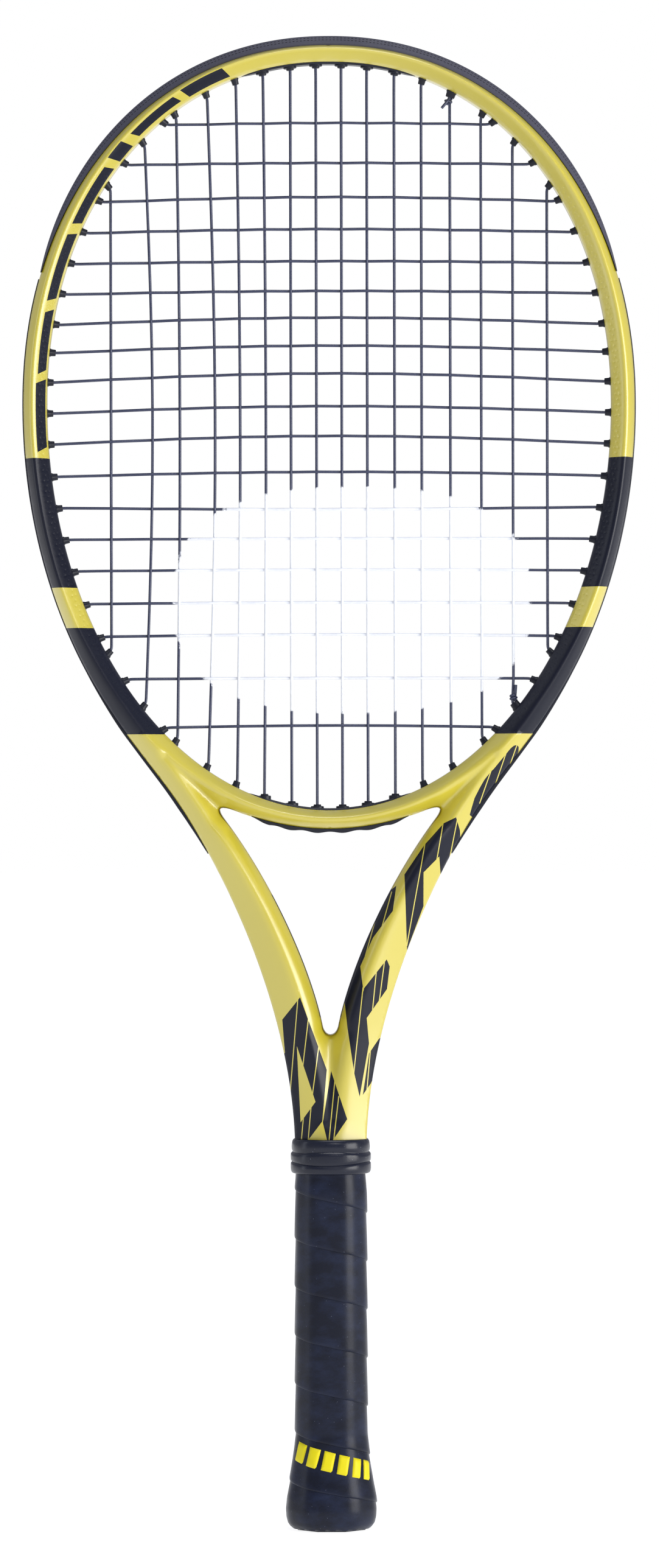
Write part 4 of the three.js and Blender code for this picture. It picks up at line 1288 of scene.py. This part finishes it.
def loop(start, end, lane):
    """The string outside the hoop between two holes, in a lane only where it passes another hole."""
    if start["station"] is None:
        return []
    low, high = sorted((start["station"], end["station"]))
    stations = [hole["station"] for hole in ALL_HOLES if hole["station"] is not None]
    passes = any(low + SAME_STATION < station < high - SAME_STATION for station in stations)
    return along_groove(start["station"], end["station"], lane if passes else 0)


def bends(hole, shift=0.0, y=0.0):
    """The string's points through a hole, from its mouth inside the hoop to the groove outside."""
    along = np.array((-hole["out"][1], hole["out"][0]))
    places = (hole["mouth"], hole["wall"] + 0.5 * hole["lean"], hole["corner"])
    return [in_plane(point + along * shift, y) for point in places]


def string_route():
    """The whole string from knot to knot: mains from right to left, then crosses from the throat up."""
    route = []
    tie_off = MAIN_BOTTOMS[START_MAIN]
    start = bends(tie_off, PAIR_SHIFT)
    route += [start[0] + START_TAIL, *start, *loop(tie_off, MAIN_BOTTOMS[-1], LANE)]
    for main in reversed(range(MAINS)):
        upwards = (MAINS - 1 - main) % 2 == 0
        bottom = bends(MAIN_BOTTOMS[main], -PAIR_SHIFT if main == START_MAIN else 0)
        top = bends(MAIN_TOPS[main], 0, PAIR_SHIFT if main == FINISH_MAIN else 0)
        rising = [*bottom[::-1], *main_points(main), *top]
        route += rising if upwards else rising[::-1]
        ends = MAIN_TOPS if upwards else MAIN_BOTTOMS
        if main > 0:
            route += loop(ends[main], ends[main - 1], LANE)
    last = CROSSES - 1
    change = (CROSS_LEFTS[last - 1]["station"] + MAIN_BOTTOMS[1]["station"]) / 2
    route += along_groove(MAIN_BOTTOMS[0]["station"], change, LANE)
    route += along_groove(change, CROSS_LEFTS[last]["station"], -LANE)
    for cross in reversed(range(CROSSES)):
        rightwards = (last - cross) % 2 == 0
        left, right = bends(CROSS_LEFTS[cross]), bends(CROSS_RIGHTS[cross])
        across = [*left[::-1], *cross_points(cross), *right]
        route += across if rightwards else across[::-1]
        ends = CROSS_RIGHTS if rightwards else CROSS_LEFTS
        if cross > 0:
            route += loop(ends[cross], ends[cross - 1], -LANE)
    finish = MAIN_TOPS[FINISH_MAIN]
    end = bends(finish, 0, -PAIR_SHIFT)
    route += [*loop(CROSS_RIGHTS[0], finish, -LANE), *end[::-1], *(end[0] + tail for tail in FINISH_TAIL)]
    return np.array(route)


def smooth_path(route, step=0.9, passes=3, bend=math.radians(2.2), longest=7.0):
    """The route with its corners rounded, and points only where it turns."""
    gaps = np.linalg.norm(np.diff(route, axis=0), axis=1)
    route = route[np.concatenate([[True], gaps > 0.05])]
    reach = np.concatenate([[0.0], np.cumsum(np.linalg.norm(np.diff(route, axis=0), axis=1))])
    marks = np.linspace(0, reach[-1], round(reach[-1] / step))
    path = np.column_stack([np.interp(marks, reach, route[:, axis]) for axis in range(3)])
    for _ in range(passes):
        path[1:-1] = (path[:-2] + 2 * path[1:-1] + path[2:]) / 4
    kept = [0]
    for index in range(1, len(path) - 1):
        start = path[kept[-1]]
        before = path[kept[-1] + 1] - start
        now = path[index + 1] - path[index]
        turn = np.dot(before, now) / (np.linalg.norm(before) * np.linalg.norm(now))
        if turn < math.cos(bend) or np.linalg.norm(path[index] - start) > longest:
            kept.append(index)
    return path[kept + [len(path) - 1]]


KNOT = {"radius": 1.25, "pitch": 1.25, "turns": 1.8, "middle": -0.4, "string": STRING_RADIUS * 0.95}


def knot_path(x, height, way):
    """The tail's turns round its neighbour, drawn down on to the grommet."""
    turns = np.linspace(0, 2 * np.pi * KNOT["turns"], 40)
    lift = way * KNOT["pitch"] * turns / (2 * np.pi)
    across, depth = KNOT["radius"] * np.cos(turns), KNOT["radius"] * np.sin(turns)
    return np.column_stack([x + across, KNOT["middle"] + depth, height + lift])


def racket_string():
    """The string's route as a tube, and its two knots."""
    solid = Solid()
    solid.add(*tube(smooth_path(string_route()), STRING_RADIUS, STRING_SIDES))
    start = MAIN_BOTTOMS[START_MAIN]["mouth"]
    finish = MAIN_TOPS[FINISH_MAIN]["mouth"]
    solid.add(*tube(knot_path(main_x(START_MAIN), start[1] + 0.9, 1), KNOT["string"], STRING_SIDES))
    solid.add(*tube(knot_path(main_x(FINISH_MAIN) - 0.6, finish[1] - 0.7, -1), KNOT["string"], STRING_SIDES))
    attach(solid.finish("racket_string", [STRING], 60), RACKET, "string")


# ---- handle

def handle_radius(turn, apothem, sharpness=12.0):
    """Distance from the axis to a rounded eight-sided section, by angle from +X."""
    c, s = abs(math.cos(turn)), abs(math.sin(turn)) / HANDLE_DEPTH
    reach = 1 - FACE_HALF_WIDTH * SIDE_HALF_WIDTH
    slanted = reach / ((1 - SIDE_HALF_WIDTH) * c + (1 - FACE_HALF_WIDTH) * s)
    sides = [1 / max(c, 1e-6), 1 / max(s, 1e-6), slanted]
    nearest = -math.log(sum(math.exp(-sharpness * value) for value in sides)) / sharpness
    return apothem * nearest


GRIP_PROFILE = {"height": (0.6, 1.6, 3.0, 5.5, 9.0, 14, 20, 26, 31, 36, 42, 149, 156, 162),
                "apothem": (16.6, 17.9, 18.9, 19.6, 19.9, 19.5, 18.5, 17.6, 16.9, 16.3,
                            15.75, 15.6, 15.2, 15.1)}
WIND = {"pitch": 21.4, "bottom": 0.7, "top": 162.0, "proud": 0.6, "phase": 11.6}
GRIP_COLUMNS = 96
GRIP_TURNS = 10
GRIP_TURNS_BELOW = 2              # turns that start under the butt and are cut off
GRIP_INSIDE = 0.9                 # the sleeve's inside over its outside


def grip_point(turn, height, proud):
    apothem = float(np.interp(height, GRIP_PROFILE["height"], GRIP_PROFILE["apothem"]))
    radius = handle_radius(turn, apothem) + proud
    return (radius * math.cos(turn), radius * math.sin(turn), height)


def lip(part):
    """How proud a turn of the strip is, from its lower edge (0) to where the next covers it (1)."""
    rounded = math.sqrt(max(0.0, 1 - (1 - min(part / 0.03, 1.0)) ** 2))
    return WIND["proud"] * (0.25 + 0.75 * rounded) * (1 - part) ** 0.8


def grip_rows():
    """Places across the strip, closest together over its rounded lower edge."""
    return [0.0, 0.006, 0.014, *np.linspace(0.03, 1.0, 22)]


def seam_height(turn):
    """The height of the strip's lower edge, which climbs once round the handle."""
    return WIND["phase"] + WIND["pitch"] * turn / (2 * math.pi)


def base_grip():
    """The wound strip: a spiral sheet whose turns overlap, cut level at both ends."""
    parts = grip_rows()
    columns = GRIP_TURNS * GRIP_COLUMNS
    start = -GRIP_TURNS_BELOW * 2 * math.pi
    vertices, faces = [], []
    for column in range(columns + 1):
        turn = start + 2 * math.pi * column / GRIP_COLUMNS
        low = seam_height(turn)
        for part in parts:
            vertices.append(grip_point(-turn, low + WIND["pitch"] * part, lip(part)))
    rows = len(parts)
    for column in range(columns):
        for row in range(rows - 1):
            here = column * rows + row
            faces.append((here, here + 1, here + rows + 1, here + rows))
        above = (column + GRIP_COLUMNS) * rows
        if column + 1 + GRIP_COLUMNS <= columns:
            faces.append((column * rows + rows - 1, above, above + rows, (column + 1) * rows + rows - 1))
    piece = make_object("base_grip_wrap", vertices, faces, [GRIP], sharp=50)
    trim_and_close(piece, WIND["bottom"], WIND["top"], GRIP_INSIDE)
    attach(piece, RACKET, "base_grip")


def trim_and_close(piece, low, high, inner):
    """Cuts a sleeve level at two heights and gives it an inside."""
    with edited(piece) as shape:
        for height, normal in ((low, (0, 0, -1)), (high, (0, 0, 1))):
            geometry = shape.verts[:] + shape.edges[:] + shape.faces[:]
            bmesh.ops.bisect_plane(shape, geom=geometry, dist=1e-7, plane_co=(0, 0, height * MM),
                                   plane_no=normal, clear_outer=True)
        rims = [edge for edge in shape.edges if edge.is_boundary]
        for made in bmesh.ops.extrude_edge_only(shape, edges=rims)["geom"]:
            if isinstance(made, bmesh.types.BMVert):
                made.co.x *= inner
                made.co.y *= inner
        rims = [edge for edge in shape.edges if edge.is_boundary]
        bmesh.ops.bridge_loops(shape, edges=rims)
        bmesh.ops.recalc_face_normals(shape, faces=shape.faces)
    piece.data.shade_smooth()
    piece.data.set_sharp_from_angle(angle=math.radians(50))


# Raised bars on the butt flare: start and end round the handle from the front, in degrees.
RAISED_BARS = ((-64, -44), (-38, -20), (-14, 4), (10, 26), (32, 47), (53, 66))
RAISED_HEIGHT = 9.0
RAISED_LIFT = 0.75
RAISED_LEAN = 6.0                 # degrees round the handle from the bottom of a bar to its top
RAISED_FOOT = 26.2                # height of the row at the middle of the front
RAISED_FALL = 3.4 / 50            # how far it falls for each degree round the handle
RAISED_STEPS = 9


def raised_bar(start, end):
    """Front and back points of one bar, as a grid across it and up it."""
    steps = np.linspace(0, 1, RAISED_STEPS)
    outer, inner = [], []
    for across in steps:
        for up in steps:
            degrees = start + (end - start) * across + RAISED_LEAN * (up - 0.5)
            turn = math.radians(degrees - 90)
            height = RAISED_FOOT - RAISED_FALL * degrees + RAISED_HEIGHT * up
            rim = min(across, 1 - across, up, 1 - up) * 6
            outer.append(grip_point(turn, height, RAISED_LIFT * math.sqrt(min(1.0, rim)) + 0.2))
            inner.append(grip_point(turn, height, -0.4))
    return outer + inner


def raised_bars():
    """Plain slanted bars standing proud of the lowest turn of the grip."""
    count = RAISED_STEPS
    half, last = count * count, count - 1
    faces = []
    for column in range(last):
        for row in range(last):
            a = column * count + row
            b, c, d = a + 1, a + count + 1, a + count
            faces += [(a, b, c, d), (half + d, half + c, half + b, half + a)]
    rim = [*range(count), *(column * count + last for column in range(1, count)),
           *(last * count + row for row in range(last - 1, -1, -1)),
           *(column * count for column in range(last - 1, 0, -1))]
    faces += [(b, a, half + a, half + b) for a, b in zip(rim, rim[1:] + rim[:1])]
    solid = Solid()
    for start, end in RAISED_BARS:
        solid.add(raised_bar(start, end), faces)
    attach(solid.finish("grip_raised_bars", [RAISED], 60), RACKET, None)


COLLAR_PROFILE = (
    (16.35, 157.6), (16.9, 157.5), (17.4, 157.8), (17.75, 158.5), (17.9, 159.6), (17.9, 160.8),
    (17.78, 161.4), (17.5, 161.75), (17.35, 161.95), (17.5, 162.15), (17.78, 162.5), (17.88, 163.4),
    (17.9, 165.2), (17.85, 166.1), (17.6, 166.55), (17.2, 166.85), (17.05, 167.1), (17.15, 167.4),
    (17.4, 168.0), (17.48, 169.2), (17.38, 170.6), (17.15, 171.7), (16.7, 172.5), (16.2, 172.75),
    (16.05, 172.6), (16.0, 171.0), (16.3, 170.8), (16.32, 158.2),
)
COLLAR_COLUMNS = 96
# Where the wave starts and ends, how fast it fades, and the height between its two parts.
COLLAR_WAVE = (159.5, 169.8, 1.5, 164.0)
COLLAR_SHARPNESS = 8.0
COLLAR_SHAFT = 16.2               # points nearer the axis than this follow the shaft


def collar_wave(turn, height):
    """The band's edges rise gently towards the right of the front."""
    low, high, fade_length, seam = COLLAR_WAVE
    fade = min(1.0, max(0.0, (height - low) / fade_length), max(0.0, (high - height) / fade_length))
    return fade * (0.75 * math.sin(2 * turn + 1.9) if height < seam else 0.35 * math.sin(3 * turn))


def grip_collar():
    """The rubber band, with a rib and two soft beads, closed round the shaft and the top of the grip."""
    rings = []
    for column in range(COLLAR_COLUMNS):
        turn = 2 * math.pi * column / COLLAR_COLUMNS
        ring = []
        for apothem, height in COLLAR_PROFILE:
            on_shaft = apothem < COLLAR_SHAFT
            radius = shaft_radius(turn) if on_shaft else handle_radius(turn, apothem, COLLAR_SHARPNESS)
            height += collar_wave(turn, height)
            ring.append((radius * math.cos(turn), radius * math.sin(turn), height))
        rings.append(ring)
    solid = Solid()
    solid.add(*loft(rings, closed_path=True))
    attach(solid.finish("rubber_collar", [RUBBER], 60), COLLAR, "grip_collar")


def shaft_radius(turn):
    """The collar's opening: the shaft's roof-shaped section and a little clearance."""
    c, s = abs(math.cos(turn)), abs(math.sin(turn))
    half, edge, ridge = SHAFT_HALF_WIDTH + 0.25, EDGE_DEPTH + 0.3, RIDGE_DEPTH + 0.35
    side = half / max(c, 1e-6)
    roof = ridge / (s + c * (ridge - edge) / half)
    return min(side, roof)


def carried_over():
    """CAD pieces that keep their shape get their finish here."""
    for node, material in (
            ("handle_pallet", FOAM), ("grip_finishing_tape", TAPE), ("butt_cap", CAP), ("butt_cap_door", CAP),
            ("butt_cap_staple_left", STEEL), ("butt_cap_staple_right", STEEL)):
        piece = bpy.data.objects[node]
        piece.data.materials.clear()
        piece.data.materials.append(material)


# ---- studio

VIEW_DISTANCE = 2.7
VIEW_MARGIN = 1.0514              # the frame's height over the racket's
VIEW_LEAN = math.radians(0.13)
VIEW_SHIFT = (-0.0002, -0.0006)   # metres across and up from the racket's middle
FLOOR_REACH = 20000
FLOOR_GAP = 0.2
# Height from straight down (0) to straight up (1), and colour.
SKY = ((0.0, (0.30, 0.33, 0.42, 1)), (0.42, (0.30, 0.30, 0.30 * 1.1, 1)),
       (0.67, (0.36, 0.36, 0.36 * 1.1, 1)), (1.0, (0.34, 0.37, 0.46, 1)))
# Place and size in metres, watts, colour; each points at the middle of the racket.
LIGHTS = {
    "key": ((1.5, -0.95, 0.42), (1.5, 1.0), 26, (1.0, 0.99, 0.98)),
    "front": ((0.35, -2.3, 1.35), (0.5, 0.4), 3.0, (1.0, 0.99, 0.97)),
    "side": ((-1.5, -0.12, 0.6), (0.30, 1.2), 2.2, (0.84, 0.90, 1.0)),
    "top": ((0.15, -0.55, 2.1), (1.0, 0.5), 7, (1.0, 1.0, 1.0)),
}
LIGHT_AIM = (0, 0, 0.36)


def camera():
    """The photograph's view: square on from the front."""
    low, high = CAD_BOX
    height = high.z - low.z
    data = bpy.data.cameras.new("camera")
    data.sensor_width = 36.0
    data.lens = data.sensor_width * VIEW_DISTANCE / (height * VIEW_MARGIN)
    view = bpy.data.objects.new("camera", data)
    view.location = (VIEW_SHIFT[0], -VIEW_DISTANCE, (low.z + high.z) / 2 + VIEW_SHIFT[1])
    view.rotation_euler = (math.pi / 2, VIEW_LEAN, 0)
    bpy.context.scene.collection.objects.link(view)
    bpy.context.scene.camera = view


def area_light(name, place, size, power, color):
    data = bpy.data.lights.new(name, "AREA")
    data.shape = "RECTANGLE"
    data.size, data.size_y = size
    data.energy = power
    data.color = color
    light = bpy.data.objects.new(name, data)
    light.location = place
    aim = Vector(LIGHT_AIM) - Vector(place)
    light.rotation_euler = aim.to_track_quat("-Z", "Y").to_euler()
    bpy.context.scene.collection.objects.link(light)


def sky(tree):
    """Soft light from all round, a little dimmer at the horizon; the camera itself sees plain white."""
    place = tree.nodes.new("ShaderNodeTexCoord")
    split = tree.nodes.new("ShaderNodeSeparateXYZ")
    ramp = tree.nodes.new("ShaderNodeValToRGB")
    shift = tree.nodes.new("ShaderNodeMapRange")
    shift.inputs["From Min"].default_value = -1
    tree.links.new(place.outputs["Generated"], split.inputs["Vector"])
    tree.links.new(split.outputs["Z"], shift.inputs["Value"])
    tree.links.new(shift.outputs["Result"], ramp.inputs["Fac"])
    stops = ramp.color_ramp.elements
    for stop, (position, color) in zip(stops, (SKY[0], SKY[-1])):
        stop.position, stop.color = position, color
    for position, color in SKY[1:-1]:
        stops.new(position).color = color
    rays = tree.nodes.new("ShaderNodeLightPath")
    seen = tree.nodes.new("ShaderNodeMix")
    seen.data_type = "RGBA"
    seen.inputs[7].default_value = (1, 1, 1, 1)
    tree.links.new(rays.outputs["Is Camera Ray"], seen.inputs[0])
    tree.links.new(ramp.outputs["Color"], seen.inputs[6])
    tree.links.new(seen.outputs[2], tree.nodes["Background"].inputs["Color"])


def studio():
    scene = bpy.context.scene
    scene.view_settings.view_transform = "Standard"
    scene.world = bpy.data.worlds.new("studio")
    scene.world.use_nodes = True
    sky(scene.world.node_tree)
    for name, light in LIGHTS.items():
        area_light(name, *light)
    reach = FLOOR_REACH
    corners = [(-reach, -reach, 0), (reach, -reach, 0), (reach, reach, 0), (-reach, reach, 0)]
    floor = make_object("floor", corners, [(0, 1, 2, 3)], [floor_material()])
    floor.location.z = -FLOOR_GAP * MM


def floor_material():
    shader = Shader("floor", Roughness=0.9, Specular_IOR_Level=0.1, Emission_Strength=0.91,
                    Emission_Color=(1.0, 1.0, 1.0, 1.0))
    shader.color(shader.noise(3, 2), (150, 150, 151), (147, 147, 149))
    return shader.material


# ---- build

camera()
racket_frame()
head_bumper()
for side in (-1, 1):
    side_strip(side)
for main in range(MAINS):
    if is_corner_main(place_of(main)):
        corner_grommet(main)
throat_strip()
racket_string()
base_grip()
raised_bars()
grip_collar()
carried_over()
studio()
